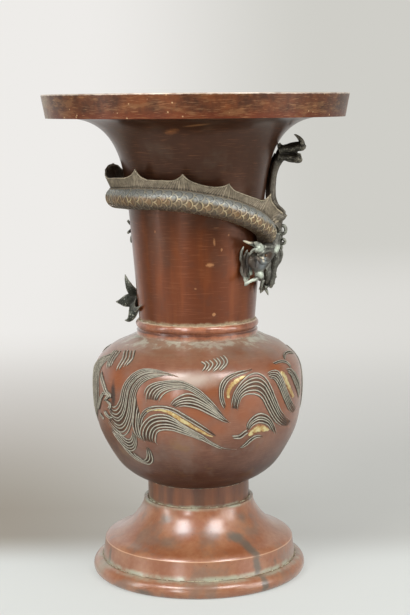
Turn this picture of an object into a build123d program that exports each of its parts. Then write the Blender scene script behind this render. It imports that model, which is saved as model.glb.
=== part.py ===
from build123d import *
import os
from math import cos, hypot, radians, sin

os.makedirs("parts", exist_ok=True)

# Bronze vase with a flaring mouth, a round belly and a stepped foot.
# A cast dragon winds round the neck, and studs hold it through the wall.
# Lengths are in millimetres and turns in degrees.
# The axis is +Z, the table is at zero, and the front of the vase looks along -Y.

# Walls and fits of the cast sections
wall = 3.0
fit_clearance = 0.15
spigot_end_gap = 0.4

# Foot ring
foot_ring_radius = 101.0
foot_ring_height = 14.5
foot_ring_spigot_height = 5.5

# Foot
foot_radius = 92.0
foot_edge_radius = 89.4
foot_band_height = 17.3
foot_cove_height = 38.6
foot_lip_radius = 51.9
stem_socket_depth = 6.0
stem_socket_floor = 3.0

# Stem and belly
stem_radius = 48.0
stem_showing = 18.6
belly_radius = 98.2
belly_height = 138.6
belly_lower_spigot_length = 8.0
belly_upper_spigot_length = 4.0
bottom_plate_thickness = 2.5
bottom_plate_ledge = 1.6

# Collar between the belly and the neck
collar_radius = 56.9
collar_bead_radius = 57.7
collar_groove_depth = 1.5
collar_height = 13.9
collar_bead_height = 7.8
collar_band_height = 4.2

# Neck and its flare
neck_base_radius = 54.4
neck_shoulder = 0.8
neck_taper = 15.4
neck_height = 187.0
flare_height = 104.0
flare_reach = 52.0
flare_power = 4
flare_root = 0.41
neck_points = 15
neck_crowding = 2.4

# Rim band round the mouth
rim_bottom_radius = 138.0
rim_radius = 142.0
rim_height = 21.5
rim_wall = 4.0
rim_ledge_width = 4.0
rim_ledge_thickness = 1.2
rim_edge_round = 1.0

# Dragon
dragon_radius = 9.5
dragon_stand_off = 0.5
crest_gap = 0.3
crest_peak_height = 15.0
crest_valley_height = 7.0
crest_base_width = 2.4
crest_top_width = 1.2
crest_lean = 12
crest_first_row = 2
crest_sharpness = 1.7
eye_radius = 1.9
body_steps = 3
limb_steps = 3

# Studs that hold the dragon
stud_radius = 1.6
stud_head_radius = 2.9
stud_head_height = 1.4
washer_radius = 4.2
washer_thickness = 1.4

# Levels above the table
foot_bottom = foot_ring_height
foot_edge = foot_bottom + foot_band_height
foot_top = foot_edge + foot_cove_height
stem_bottom = foot_top - stem_socket_depth
stem_top = foot_top + stem_showing
belly_top = stem_top + belly_height
neck_bottom = belly_top + collar_height
neck_top = neck_bottom + neck_height
rim_top = neck_top + rim_height

# Radii that seat one section in the next
stem_bore_radius = stem_radius - wall
lower_spigot_radius = stem_bore_radius - fit_clearance
throat_spigot_radius = neck_base_radius - neck_shoulder
throat_radius = throat_spigot_radius - wall
collar_bore_radius = throat_spigot_radius + fit_clearance
foot_ring_inner_radius = foot_radius - wall - fit_clearance - wall

# Outlines as shares of the section's own radius and height
ring_outline_shares = ((0.96, 0), (0.993, 0.2), (1.0, 0.45), (0.986, 0.74), (0.95, 0.95), (0.925, 1))
band_outline_shares = ((0, 0), (0.32, 0.22), (0.58, 0.5), (0.83, 0.8), (1, 1))
cove_outline_shares = (
    (1.0, 0), (0.94, 0.065), (0.725, 0.16), (0.53, 0.265), (0.395, 0.365), (0.285, 0.47),
    (0.2, 0.575), (0.122, 0.68), (0.06, 0.785), (0.018, 0.885), (0, 1),
)
belly_outline_shares = (
    (0.56, 0.022), (0.66, 0.065), (0.742, 0.115), (0.848, 0.224), (0.946, 0.368), (0.993, 0.548),
    (1.0, 0.657), (0.993, 0.743), (0.974, 0.801), (0.931, 0.851), (0.866, 0.895), (0.798, 0.931),
    (0.7, 0.96), (0.64, 0.981),
)

# The dragon's path from its nape, over the front and round the back to the tail.
# Each row has a turn from the front to the right, a share of the neck's height,
# a share of the dragon's radius, and a share of the crest's rise from valley to peak.
dragon_path_shares = (
    (69, 0.393, 0.90, 0.0),
    (65.5, 0.433, 0.96, 0.3),
    (60, 0.464, 1.0, 0.9),
    (50, 0.499, 1.0, 0.25),
    (39, 0.531, 1.0, 0.0),
    (22.3, 0.571, 1.0, 1.0),
    (6.2, 0.597, 1.0, 0.0),
    (-8.6, 0.614, 1.0, 1.0),
    (-25.3, 0.621, 1.0, 0.0),
    (-43.8, 0.620, 1.0, 1.0),
    (-66, 0.617, 1.0, 0.0),
    (-94, 0.608, 1.0, 1.2),
    (-116, 0.589, 0.98, 0.0),
    (-136, 0.559, 0.95, 1.0),
    (-154, 0.524, 0.92, 0.0),
    (-171, 0.481, 0.89, 1.0),
    (-186, 0.433, 0.86, 0.0),
    (-200, 0.374, 0.82, 0.9),
    (-210, 0.310, 0.78, 0.0),
    (-213.5, 0.246, 0.73, 0.8),
    (-210, 0.187, 0.68, 0.0),
    (-201, 0.142, 0.63, 0.8),
    (-189, 0.112, 0.57, 0.0),
    (-175, 0.097, 0.52, 0.7),
    (-161, 0.091, 0.46, 0.0),
    (-148, 0.090, 0.40, 0.6),
    (-135, 0.091, 0.35, 0.0),
    (-122, 0.094, 0.30, 0.0),
)
stud_path_rows = (4, 8, 11, 14, 17, 20, 23)

# Limbs as rows of a turn from the front, a share of the neck's height, and shares of the
# dragon's radius: how far the row stands off the neck, its wide radius and its thin radius.
head_shares = (
    (66.5, 0.361, 1.16, 1.01, 0.93),
    (63, 0.329, 1.28, 1.09, 0.95),
    (59.5, 0.299, 1.33, 1.01, 0.86),
    (56, 0.273, 1.33, 0.76, 0.69),
    (52, 0.249, 1.33, 0.65, 0.63),
    (48.5, 0.233, 1.33, 0.59, 0.55),
    (46.5, 0.224, 1.33, 0.36, 0.32),
)
jaw_shares = (
    (70, 0.307, 1.21, 0.63, 0.44),
    (69.5, 0.270, 1.21, 0.59, 0.42),
    (68, 0.233, 1.26, 0.51, 0.34),
    (65.5, 0.201, 1.31, 0.38, 0.25),
    (63.5, 0.182, 1.33, 0.19, 0.15),
)
horn_shares = (
    (
        (60, 0.342, 1.95, 0.27, 0.27),
        (54, 0.372, 2.26, 0.24, 0.24),
        (47, 0.396, 2.32, 0.20, 0.20),
        (40, 0.412, 2.16, 0.15, 0.15),
        (33.5, 0.422, 1.89, 0.06, 0.06),
    ),
    (
        (60, 0.342, 0.68, 0.27, 0.27),
        (54, 0.372, 0.51, 0.24, 0.24),
        (47, 0.396, 0.41, 0.20, 0.20),
        (40, 0.412, 0.34, 0.15, 0.15),
        (33.5, 0.422, 0.21, 0.06, 0.06),
    ),
)
eye_shares = ((58.5, 0.315, 2.2), (58.5, 0.315, 0.46))
whisker_shares = (
    (
        (50, 0.243, 1.66, 0.17, 0.17),
        (45, 0.230, 2.11, 0.14, 0.14),
        (40, 0.219, 2.16, 0.12, 0.12),
        (33.5, 0.209, 2.05, 0.05, 0.05),
    ),
    (
        (50, 0.241, 0.95, 0.17, 0.17),
        (45, 0.214, 0.55, 0.13, 0.13),
        (41, 0.184, 0.40, 0.11, 0.11),
        (38, 0.152, 0.23, 0.05, 0.05),
    ),
)
mane_shares = (
    (
        (69, 0.366, 1.16, 0.40, 0.34),
        (77, 0.393, 1.68, 0.44, 0.36),
        (84, 0.420, 2.11, 0.38, 0.29),
        (88, 0.457, 2.21, 0.25, 0.19),
        (90, 0.489, 2.00, 0.06, 0.05),
    ),
    (
        (68, 0.334, 1.26, 0.40, 0.34),
        (78, 0.350, 1.68, 0.42, 0.34),
        (85, 0.372, 1.95, 0.34, 0.27),
        (89, 0.404, 1.89, 0.20, 0.16),
        (91, 0.436, 1.68, 0.06, 0.05),
    ),
    (
        (68, 0.307, 1.26, 0.38, 0.32),
        (79, 0.310, 1.58, 0.38, 0.29),
        (85, 0.321, 1.74, 0.29, 0.23),
        (90, 0.345, 1.68, 0.17, 0.13),
        (92, 0.366, 1.53, 0.06, 0.05),
    ),
    (
        (70, 0.275, 1.21, 0.34, 0.27),
        (79, 0.265, 1.37, 0.34, 0.25),
        (85, 0.262, 1.42, 0.25, 0.19),
        (89, 0.275, 1.37, 0.14, 0.11),
        (91, 0.291, 1.26, 0.06, 0.05),
    ),
)
beard_shares = (
    (
        (68.5, 0.227, 1.16, 0.29, 0.25),
        (73, 0.184, 1.16, 0.25, 0.21),
        (78, 0.142, 1.26, 0.18, 0.15),
        (81, 0.110, 1.21, 0.06, 0.05),
    ),
    (
        (66.5, 0.211, 1.26, 0.27, 0.23),
        (66, 0.174, 1.11, 0.23, 0.19),
        (66, 0.131, 0.89, 0.06, 0.05),
    ),
)
raised_foreleg_shares = (
    (
        (69, 0.457, 1.32, 0.76, 0.76),
        (76, 0.495, 1.32, 0.80, 0.80),
        (82, 0.537, 1.11, 0.63, 0.63),
        (86, 0.591, 0.76, 0.44, 0.44),
        (87, 0.650, 0.61, 0.37, 0.37),
        (87.5, 0.714, 0.57, 0.35, 0.35),
        (87.5, 0.767, 0.63, 0.42, 0.42),
        (87.5, 0.805, 0.78, 0.55, 0.55),
        (87.5, 0.832, 1.00, 0.63, 0.63),
        (87.5, 0.853, 1.32, 0.32, 0.32),
    ),
    (
        (87.5, 0.826, 1.05, 0.59, 0.53),
        (87.5, 0.845, 1.58, 0.55, 0.48),
        (87.5, 0.853, 2.11, 0.48, 0.44),
        (87.5, 0.851, 2.63, 0.38, 0.36),
        (87.5, 0.847, 2.95, 0.16, 0.16),
    ),
    (
        (87.5, 0.850, 2.53, 0.32, 0.27),
        (87.5, 0.874, 2.29, 0.27, 0.23),
        (87.5, 0.896, 1.72, 0.19, 0.16),
        (87.5, 0.915, 1.04, 0.05, 0.04),
    ),
    (
        (87.5, 0.816, 1.05, 0.51, 0.46),
        (87.5, 0.799, 1.68, 0.44, 0.42),
        (87.5, 0.799, 2.21, 0.51, 0.46),
        (87.5, 0.799, 2.63, 0.42, 0.38),
        (87.5, 0.802, 2.89, 0.16, 0.16),
    ),
    (
        (87.5, 0.826, 0.79, 0.38, 0.34),
        (87.5, 0.853, 0.46, 0.23, 0.21),
        (87.5, 0.872, 0.14, 0.05, 0.05),
    ),
)
lower_foreleg_shares = (
    (
        (76, 0.404, 0.95, 0.63, 0.63),
        (82, 0.366, 0.86, 0.57, 0.57),
        (86, 0.318, 0.74, 0.46, 0.46),
        (86, 0.270, 0.65, 0.38, 0.38),
        (84, 0.233, 0.63, 0.44, 0.44),
        (83, 0.206, 0.63, 0.51, 0.51),
        (83, 0.182, 0.59, 0.32, 0.32),
    ),
    (
        (84, 0.206, 0.63, 0.32, 0.32),
        (87, 0.171, 0.61, 0.21, 0.21),
        (88, 0.139, 0.32, 0.05, 0.05),
    ),
    (
        (82.5, 0.195, 0.68, 0.32, 0.32),
        (82, 0.160, 0.72, 0.22, 0.22),
        (82, 0.126, 0.36, 0.05, 0.05),
    ),
    (
        (81, 0.206, 0.63, 0.32, 0.32),
        (77, 0.179, 0.61, 0.21, 0.21),
        (74.5, 0.150, 0.32, 0.05, 0.05),
    ),
)
left_hindleg_shares = (
    (
        (-138, 0.537, 1.00, 0.74, 0.74),
        (-130, 0.495, 0.97, 0.63, 0.63),
        (-121, 0.465, 0.79, 0.44, 0.44),
        (-114, 0.452, 0.65, 0.38, 0.38),
        (-109, 0.441, 0.63, 0.46, 0.46),
        (-105.5, 0.436, 0.59, 0.32, 0.32),
    ),
    (
        (-108, 0.449, 0.63, 0.32, 0.32),
        (-101.5, 0.479, 0.55, 0.20, 0.20),
        (-97, 0.493, 0.27, 0.05, 0.05),
    ),
    (
        (-107, 0.436, 0.63, 0.32, 0.32),
        (-100.5, 0.435, 0.60, 0.21, 0.21),
        (-95.5, 0.432, 0.34, 0.05, 0.05),
    ),
    (
        (-108, 0.428, 0.63, 0.32, 0.32),
        (-102.5, 0.401, 0.48, 0.19, 0.19),
        (-98, 0.381, 0.18, 0.05, 0.05),
    ),
)
right_hindleg_shares = (
    (
        (-183, 0.409, 1.00, 0.69, 0.69),
        (-177, 0.361, 0.97, 0.61, 0.61),
        (-170, 0.313, 0.79, 0.44, 0.44),
        (-165.5, 0.265, 0.65, 0.38, 0.38),
        (-163.5, 0.227, 0.63, 0.46, 0.46),
        (-163, 0.203, 0.59, 0.32, 0.32),
    ),
    (
        (-163, 0.217, 0.63, 0.32, 0.32),
        (-157.5, 0.190, 0.58, 0.20, 0.20),
        (-153.5, 0.166, 0.29, 0.05, 0.05),
    ),
    (
        (-163, 0.206, 0.63, 0.32, 0.32),
        (-162.5, 0.176, 0.61, 0.20, 0.20),
        (-162.5, 0.150, 0.32, 0.05, 0.05),
    ),
    (
        (-164, 0.217, 0.63, 0.32, 0.32),
        (-169, 0.193, 0.58, 0.20, 0.20),
        (-172.5, 0.168, 0.29, 0.05, 0.05),
    ),
)
tail_root_shares = (
    (
        (-123.5, 0.094, 0.35, 0.25, 0.25),
        (-117, 0.094, 0.42, 0.34, 0.34),
        (-110, 0.092, 0.53, 0.42, 0.40),
        (-105, 0.088, 0.60, 0.30, 0.30),
    ),
    (
        (-109, 0.086, 0.45, 0.27, 0.14),
        (-96, 0.059, 0.40, 0.36, 0.13),
        (-80, 0.051, 0.34, 0.29, 0.11),
        (-68, 0.070, 0.27, 0.15, 0.07),
        (-62, 0.088, 0.19, 0.04, 0.04),
    ),
)
tail_blade_shares = (
    (
        (-108, 0.085, 0.50, 0.40, 0.20),
        (-105, 0.118, 0.67, 0.53, 0.19),
        (-102, 0.150, 0.91, 0.42, 0.17),
        (-102.5, 0.182, 1.16, 0.23, 0.12),
        (-105, 0.211, 1.37, 0.05, 0.04),
    ),
    (
        (-108, 0.092, 0.45, 0.50, 0.21),
        (-106, 0.083, 0.95, 0.65, 0.21),
        (-104, 0.073, 1.58, 0.59, 0.19),
        (-105, 0.069, 2.21, 0.27, 0.13),
        (-106, 0.068, 2.68, 0.05, 0.04),
    ),
    (
        (-108, 0.095, 0.50, 0.40, 0.20),
        (-104, 0.043, 0.67, 0.53, 0.19),
        (-100, 0.007, 0.84, 0.44, 0.17),
        (-101, -0.019, 1.26, 0.25, 0.13),
        (-103, -0.024, 1.79, 0.05, 0.04),
    ),
)


def turned(*stretches):
    """Solid of revolution from stretches of (radius, height) points: two make a line, more a curve."""
    edges = []
    for stretch in stretches:
        points = [Vector(radius, 0, height) for radius, height in stretch]
        edges.append(Line(*points) if len(points) == 2 else Spline(*points))
    return revolve(make_face(edges), Axis.Z)


def straight(*points):
    """The lines from each point of an outline to the next."""
    return [(points[index], points[index + 1]) for index in range(len(points) - 1)]


def inset(points, depth):
    """An outline moved by a depth towards the left of the way it runs."""
    moved = []
    for index, (radius, height) in enumerate(points):
        before = points[max(index - 1, 0)]
        after = points[min(index + 1, len(points) - 1)]
        out = after[0] - before[0]
        up = after[1] - before[1]
        run = hypot(out, up)
        moved.append((radius - depth * up / run, height + depth * out / run))
    return moved


def neck_radius(height):
    """Outer radius of the neck at a height above the table."""
    rise = (height - neck_bottom) / neck_height
    flare = min(max(1 - (neck_top - height) / flare_height, 0), 1)
    return neck_base_radius + neck_taper * rise + flare_reach * (1 - (1 - flare**flare_power) ** flare_root)


def outward(turn):
    """Direction away from the axis at a turn from the front."""
    return Vector(sin(radians(turn)), -cos(radians(turn)), 0)


def sideways(turn):
    """Direction round the neck, to the right when seen from outside the front."""
    return Vector(cos(radians(turn)), sin(radians(turn)), 0)


def on_neck(turn, height_share, stand):
    """Point that stands off the neck at a turn and a share of the neck's height."""
    height = neck_bottom + neck_height * height_share
    reach = outward(turn) * (neck_radius(height) + stand)
    return Vector(reach.X, reach.Y, height)


def smoothed(rows, steps):
    """The rows with more in between, on a smooth curve through all of them."""
    last = len(rows) - 1
    result = []
    for index in range(last):
        before, start, end, after = (rows[min(max(index + shift, 0), last)] for shift in (-1, 0, 1, 2))
        for step in range(steps):
            t = step / steps
            result.append(tuple(
                a * (1 + 2 * t) * (1 - t) ** 2 + b * t**2 * (3 - 2 * t)
                + (b - p) / 2 * t * (1 - t) ** 2 + (n - a) / 2 * t**2 * (t - 1)
                for p, a, b, n in zip(before, start, end, after)
            ))
    result.append(rows[last])
    return result


def headings(points):
    """Direction of travel at each point of a path."""
    last = len(points) - 1
    return [(points[min(k + 1, last)] - points[max(k - 1, 0)]).normalized() for k in range(last + 1)]


def limb(rows, thin_side):
    """Tapered solid through a limb's rows; its thin radius lies along a given direction."""
    places = smoothed(rows, limb_steps)
    points = [on_neck(turn, share, stand * dragon_radius) for turn, share, stand, wide, thin in places]
    sections = []
    for place, point, along in zip(places, points, headings(points)):
        plane = Plane(origin=point, x_dir=thin_side.cross(along), z_dir=along)
        thin = place[4] * dragon_radius
        wide = max(place[3] * dragon_radius, thin)
        sections.append(plane * Ellipse(wide, thin))
    return loft(sections, ruled=True)


def fused(limbs):
    """One solid from limbs that grow out of each other."""
    whole = limbs[0]
    for other in limbs[1:]:
        whole = whole + other
    return whole


def seated(piece, *carriers):
    """A piece cut where it lies against what carries it."""
    for carrier in carriers:
        piece = piece - carrier
    return piece


# Turned sections, from the table up


def make_foot_ring():
    outline = [(foot_ring_radius * r, foot_ring_height * h) for r, h in ring_outline_shares]
    spigot_radius = foot_radius - wall - fit_clearance
    spigot_top = foot_ring_height + foot_ring_spigot_height
    inside = straight(
        outline[-1], (spigot_radius, foot_ring_height), (spigot_radius, spigot_top),
        (foot_ring_inner_radius, spigot_top), (foot_ring_inner_radius, 0), outline[0],
    )
    return turned(outline, *inside)


def foot_outline():
    """Outer outline of the foot's cove, from its edge up to its lip."""
    spread = foot_edge_radius - foot_lip_radius
    return [(foot_lip_radius + spread * r, foot_edge + foot_cove_height * h) for r, h in cove_outline_shares]


def make_foot():
    narrowing = foot_radius - foot_edge_radius
    band = [(foot_radius - narrowing * r, foot_bottom + foot_band_height * h) for r, h in band_outline_shares]
    cove = foot_outline()
    socket_radius = stem_radius + fit_clearance
    floor_bottom = stem_bottom - stem_socket_floor
    hollow = [point for point in inset(cove, wall) if point[1] < floor_bottom - wall]
    lip = straight(
        cove[-1], (socket_radius, foot_top), (socket_radius, stem_bottom), (stem_bore_radius, stem_bottom),
        (stem_bore_radius, floor_bottom), (foot_lip_radius, floor_bottom), hollow[-1],
    )
    inside_radius = foot_radius - wall
    spigot_room = foot_bottom + foot_ring_spigot_height + spigot_end_gap
    skirt = straight(hollow[0], (inside_radius, spigot_room), (inside_radius, foot_bottom), band[0])
    return turned(band, cove, *lip, hollow[::-1], *skirt)


def make_stem_ring():
    corners = (
        (stem_radius, stem_bottom), (stem_radius, stem_top), (stem_bore_radius, stem_top),
        (stem_bore_radius, stem_bottom), (stem_radius, stem_bottom),
    )
    return turned(*straight(*corners))


def belly_outline():
    """Outer outline of the belly, from the stem up to the collar."""
    middle = [(belly_radius * r, stem_top + belly_height * h) for r, h in belly_outline_shares]
    return [(stem_radius, stem_top), *middle, (collar_radius, belly_top)]


plate_top = stem_top - belly_lower_spigot_length + bottom_plate_thickness
plate_seat_radius = lower_spigot_radius - wall + bottom_plate_ledge


def make_belly():
    outside = belly_outline()
    hollow = inset(outside, wall)
    floor = hollow[0][1]
    shoulder = hollow[-1][1]
    drain_radius = lower_spigot_radius - wall
    spigot_bottom = stem_top - belly_lower_spigot_length
    spigot_top = belly_top + belly_upper_spigot_length
    upper = straight(
        outside[-1], (throat_spigot_radius, belly_top), (throat_spigot_radius, spigot_top),
        (throat_radius, spigot_top), (throat_radius, shoulder), hollow[-1],
    )
    lower = straight(
        hollow[0], (drain_radius, floor), (drain_radius, plate_top), (plate_seat_radius, plate_top),
        (plate_seat_radius, spigot_bottom), (lower_spigot_radius, spigot_bottom),
        (lower_spigot_radius, stem_top), outside[0],
    )
    return turned(outside, *upper, hollow[::-1], *lower)


def make_bottom_plate():
    plate = Cylinder(plate_seat_radius - fit_clearance, bottom_plate_thickness)
    return Pos(0, 0, plate_top - bottom_plate_thickness / 2) * plate


def make_collar():
    bead_bottom = neck_bottom - collar_bead_height
    band_top = belly_top + collar_band_height
    groove_radius = collar_radius - collar_groove_depth
    bead_middle = (bead_bottom + neck_bottom) / 2
    bead = ((groove_radius, bead_bottom), (collar_bead_radius, bead_middle), (groove_radius, neck_bottom))
    bore = straight(
        bead[-1], (collar_bore_radius, neck_bottom), (collar_bore_radius, belly_top),
        (collar_radius, belly_top), (collar_radius, band_top), (groove_radius, band_top), bead[0],
    )
    return turned(bead, *bore)


def neck_outline():
    """Outer outline of the neck, with its points crowded towards the flare."""
    shares = [1 - (1 - index / (neck_points - 1)) ** neck_crowding for index in range(neck_points)]
    heights = [neck_bottom + neck_height * share for share in shares]
    return [(neck_radius(height), height) for height in heights]


rim_bore_radius = rim_bottom_radius - rim_wall
rim_ledge_radius = rim_bore_radius - rim_ledge_width
ledge_top = neck_top + rim_ledge_thickness
dish_floor = neck_top + wall


def make_neck():
    outside = neck_outline()
    hollow = inset(outside, wall)[:-1]
    hollow.append((outside[-1][0], dish_floor))
    spigot_bottom = belly_top + belly_upper_spigot_length + spigot_end_gap
    step_radius = rim_ledge_radius - fit_clearance
    flange_radius = rim_bore_radius - fit_clearance
    flange = straight(
        outside[-1], (step_radius, neck_top), (step_radius, ledge_top), (flange_radius, ledge_top),
        (flange_radius, dish_floor), hollow[-1],
    )
    spigot = straight(
        hollow[0], (throat_radius, neck_bottom), (throat_radius, spigot_bottom),
        (throat_spigot_radius, spigot_bottom), (throat_spigot_radius, neck_bottom), outside[0],
    )
    return turned(outside, *flange, hollow[::-1], *spigot)


def make_rim_band():
    corners = (
        (rim_bottom_radius, neck_top), (rim_radius, rim_top), (rim_radius - rim_wall, rim_top),
        (rim_bore_radius, dish_floor), (rim_bore_radius, ledge_top), (rim_ledge_radius, ledge_top),
        (rim_ledge_radius, neck_top), (rim_bottom_radius, neck_top),
    )
    band = turned(*straight(*corners))
    return fillet(band.edges().filter_by(GeomType.CIRCLE).group_by(Axis.Z)[-1], rim_edge_round)


# Dragon

path = smoothed(dragon_path_shares, body_steps)
path_stands = [thick * dragon_radius + dragon_stand_off for turn, share, thick, rise in path]
path_points = [on_neck(row[0], row[1], stand) for row, stand in zip(path, path_stands)]
path_headings = headings(path_points)


def body_between(first, last):
    """The dragon's body between two places on its path."""
    sections = []
    for index in range(first, last + 1):
        plane = Plane(origin=path_points[index], x_dir=outward(path[index][0]), z_dir=path_headings[index])
        sections.append(plane * Circle(path[index][2] * dragon_radius))
    return loft(sections, ruled=True)


def make_crest():
    """Thin strip along the back, high at its peaks and low between them."""
    sections = []
    for index in range(crest_first_row * body_steps, len(path)):
        turn, share, thick, rise = path[index]
        out = outward(turn)
        up = path_headings[index].cross(out).normalized()
        lean = radians(crest_lean)
        away = up * cos(lean) + out * sin(lean)
        across = out * cos(lean) - up * sin(lean)
        peak = max(rise, 0) ** crest_sharpness
        height = thick * (crest_valley_height + (crest_peak_height - crest_valley_height) * peak)
        foot = path_points[index] + away * (thick * dragon_radius + crest_gap)
        tip = foot + away * height
        half_foot = across * (thick * crest_base_width / 2)
        half_tip = across * (thick * crest_top_width / 2)
        corners = (foot - half_foot, foot + half_foot, tip + half_tip, tip - half_tip)
        sections.append(make_face(Polyline(*corners, close=True)))
    return loft(sections, ruled=True)


def make_head():
    places = smoothed(head_shares, limb_steps)
    points = [on_neck(turn, share, stand * dragon_radius) for turn, share, stand, wide, thin in places]
    nape = Plane(origin=path_points[0], x_dir=outward(path[0][0]), z_dir=path_headings[0])
    sections = [nape * Circle(path[0][2] * dragon_radius)]
    cheek = outward(head_shares[2][0])
    for place, point, along in zip(places, points, headings(points)):
        plane = Plane(origin=point, x_dir=cheek, z_dir=-along)
        sections.append(plane * Ellipse(place[3] * dragon_radius, place[4] * dragon_radius, rotation=90))
    return loft(sections, ruled=True)


def make_studs(body, neck):
    """Studs from the body through the neck, each with a washer and a headed end inside."""
    studs = []
    washers = []
    for row in stud_path_rows:
        index = row * body_steps
        turn, share, thick, rise = path[index]
        center = path_points[index]
        inward = -outward(turn)
        reach = thick * dragon_radius + dragon_stand_off + wall + washer_thickness
        shank_start = center + inward * (thick * dragon_radius / 2)
        shank_length = reach - thick * dragon_radius / 2 + stud_head_height
        shank = Plane(origin=shank_start, z_dir=inward) * extrude(Circle(stud_radius), shank_length)
        head_start = center + inward * (reach + washer_thickness / 2)
        head = Plane(origin=head_start, z_dir=inward) * extrude(Circle(stud_head_radius), stud_head_height)
        studs.append(shank + head)
        washer_start = center + inward * (reach - washer_thickness * 2)
        disc = extrude(Circle(washer_radius), washer_thickness * 5 / 2)
        hole = extrude(Circle(stud_radius + fit_clearance), washer_thickness * 5 / 2)
        washer = Plane(origin=washer_start, z_dir=inward) * (disc - hole)
        washers.append(washer - neck)
    return studs, washers


def stud_holes():
    """Clearance holes for the studs, through the neck and into the body."""
    holes = []
    for row in stud_path_rows:
        index = row * body_steps
        thick = path[index][2]
        inward = -outward(path[index][0])
        start = path_points[index] + inward * (thick * dragon_radius / 2)
        length = thick * dragon_radius / 2 + dragon_stand_off + wall + wall
        holes.append(Plane(origin=start, z_dir=inward) * extrude(Circle(stud_radius + fit_clearance), length))
    return holes


def save(shape, node):
    """Write one node."""
    export_step(shape, f"parts/{node}.step")


def group(shapes, node):
    """Write separate solids as one node."""
    solids = [solid for shape in shapes for solid in shape.solids()]
    save(Compound(children=solids), node)


save(make_foot_ring(), "foot_ring")
save(make_foot(), "foot")
save(make_stem_ring(), "stem_ring")
save(make_belly(), "belly")
save(make_bottom_plate(), "bottom_plate")
save(make_collar(), "neck_collar")
save(make_rim_band(), "rim_band")

holes = stud_holes()
whole_neck = make_neck()
body = seated(body_between(0, len(path) - 1), *holes)
studs, washers = make_studs(body, whole_neck)
save(seated(whole_neck, *holes), "neck_trumpet")
save(body, "dragon_body")
save(make_crest(), "dragon_crest")
group(studs, "fixing_studs")
group(washers, "stud_washers")

whole_head = make_head()
eye_points = [on_neck(turn, share, stand * dragon_radius) for turn, share, stand in eye_shares]
eyes = [Pos(point) * Sphere(eye_radius) for point in eye_points]
sockets = [Pos(point) * Sphere(eye_radius + fit_clearance) for point in eye_points]
head = seated(whole_head, *sockets)
save(head, "dragon_head")
group(eyes, "dragon_eyes")
jaw = seated(limb(jaw_shares, sideways(jaw_shares[0][0])), whole_head)
save(jaw, "dragon_jaw")
shoulders = body_between(0, 3 * body_steps)
horns = [seated(limb(rows, outward(rows[0][0])), whole_head, shoulders) for rows in horn_shares]
group(horns, "dragon_horns")
whiskers = [seated(limb(rows, outward(rows[0][0])), whole_head) for rows in whisker_shares]
group(whiskers, "dragon_whiskers")

paw_turn = raised_foreleg_shares[-1][0][0]
raised_leg = limb(raised_foreleg_shares[0], outward(paw_turn))
raised = fused([raised_leg, *(limb(rows, sideways(paw_turn)) for rows in raised_foreleg_shares[1:])])
raised = seated(raised, shoulders, whole_head)
save(raised, "dragon_foreleg_raised")
lower = fused([limb(rows, outward(lower_foreleg_shares[0][0][0])) for rows in lower_foreleg_shares])
lower = seated(lower, shoulders, whole_head, jaw, raised)
save(lower, "dragon_foreleg_lower")
mane = fused([limb(rows, outward(rows[0][0])) for rows in mane_shares])
group([seated(mane, whole_head, shoulders, jaw, raised, lower)], "dragon_mane")
beard = [seated(limb(rows, outward(rows[0][0])), whole_head, jaw, lower) for rows in beard_shares]
group(beard, "dragon_beard")

left_hip = body_between(11 * body_steps, 15 * body_steps)
left = fused([limb(rows, outward(rows[0][0])) for rows in left_hindleg_shares])
save(seated(left, left_hip), "dragon_hindleg_left")
right_hip = body_between(14 * body_steps, 18 * body_steps)
right = fused([limb(rows, outward(rows[0][0])) for rows in right_hindleg_shares])
save(seated(right, right_hip), "dragon_hindleg_right")
tail_end = body_between(24 * body_steps, len(path) - 1)
roots = [limb(rows, outward(rows[1][0])) for rows in tail_root_shares]
blades = [limb(rows, sideways(rows[1][0])) for rows in tail_blade_shares]
save(seated(fused(roots + blades), tail_end), "dragon_tail_tuft")
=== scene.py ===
"""Cast bronze vase with a coiled dragon: the patina of its sections, and the cast and chased work."""
import random
from bisect import bisect_right
from math import cos, degrees, exp, hypot, pi, radians, sin, tau

import bmesh
import bpy
from bpy.props import FloatProperty, FloatVectorProperty, IntProperty, PointerProperty
from mathutils import Matrix, Vector, noise
from mathutils.bvhtree import BVHTree


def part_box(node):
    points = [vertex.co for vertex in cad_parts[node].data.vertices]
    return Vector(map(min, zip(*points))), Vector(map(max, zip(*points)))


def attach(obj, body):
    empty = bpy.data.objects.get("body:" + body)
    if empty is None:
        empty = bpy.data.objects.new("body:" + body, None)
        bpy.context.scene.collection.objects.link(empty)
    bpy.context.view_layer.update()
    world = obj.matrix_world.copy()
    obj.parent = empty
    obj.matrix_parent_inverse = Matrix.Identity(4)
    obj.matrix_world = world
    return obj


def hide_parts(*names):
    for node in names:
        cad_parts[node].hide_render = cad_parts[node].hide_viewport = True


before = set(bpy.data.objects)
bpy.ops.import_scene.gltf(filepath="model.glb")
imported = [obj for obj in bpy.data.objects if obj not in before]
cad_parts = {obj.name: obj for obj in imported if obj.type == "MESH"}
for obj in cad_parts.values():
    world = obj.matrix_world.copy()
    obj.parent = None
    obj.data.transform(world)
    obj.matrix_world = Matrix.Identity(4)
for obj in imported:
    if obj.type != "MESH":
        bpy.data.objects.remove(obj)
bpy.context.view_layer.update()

bl_info = {
    "name": "Cast Vase Dressing",
    "version": (1, 0, 0),
    "blender": (4, 5, 0),
    "location": "View3D > Sidebar > Vase",
    "description": "Patina, scaled dragon, ribbed crest and chased waves for a cast bronze vase",
    "category": "Object",
}

mm = 0.001

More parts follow.
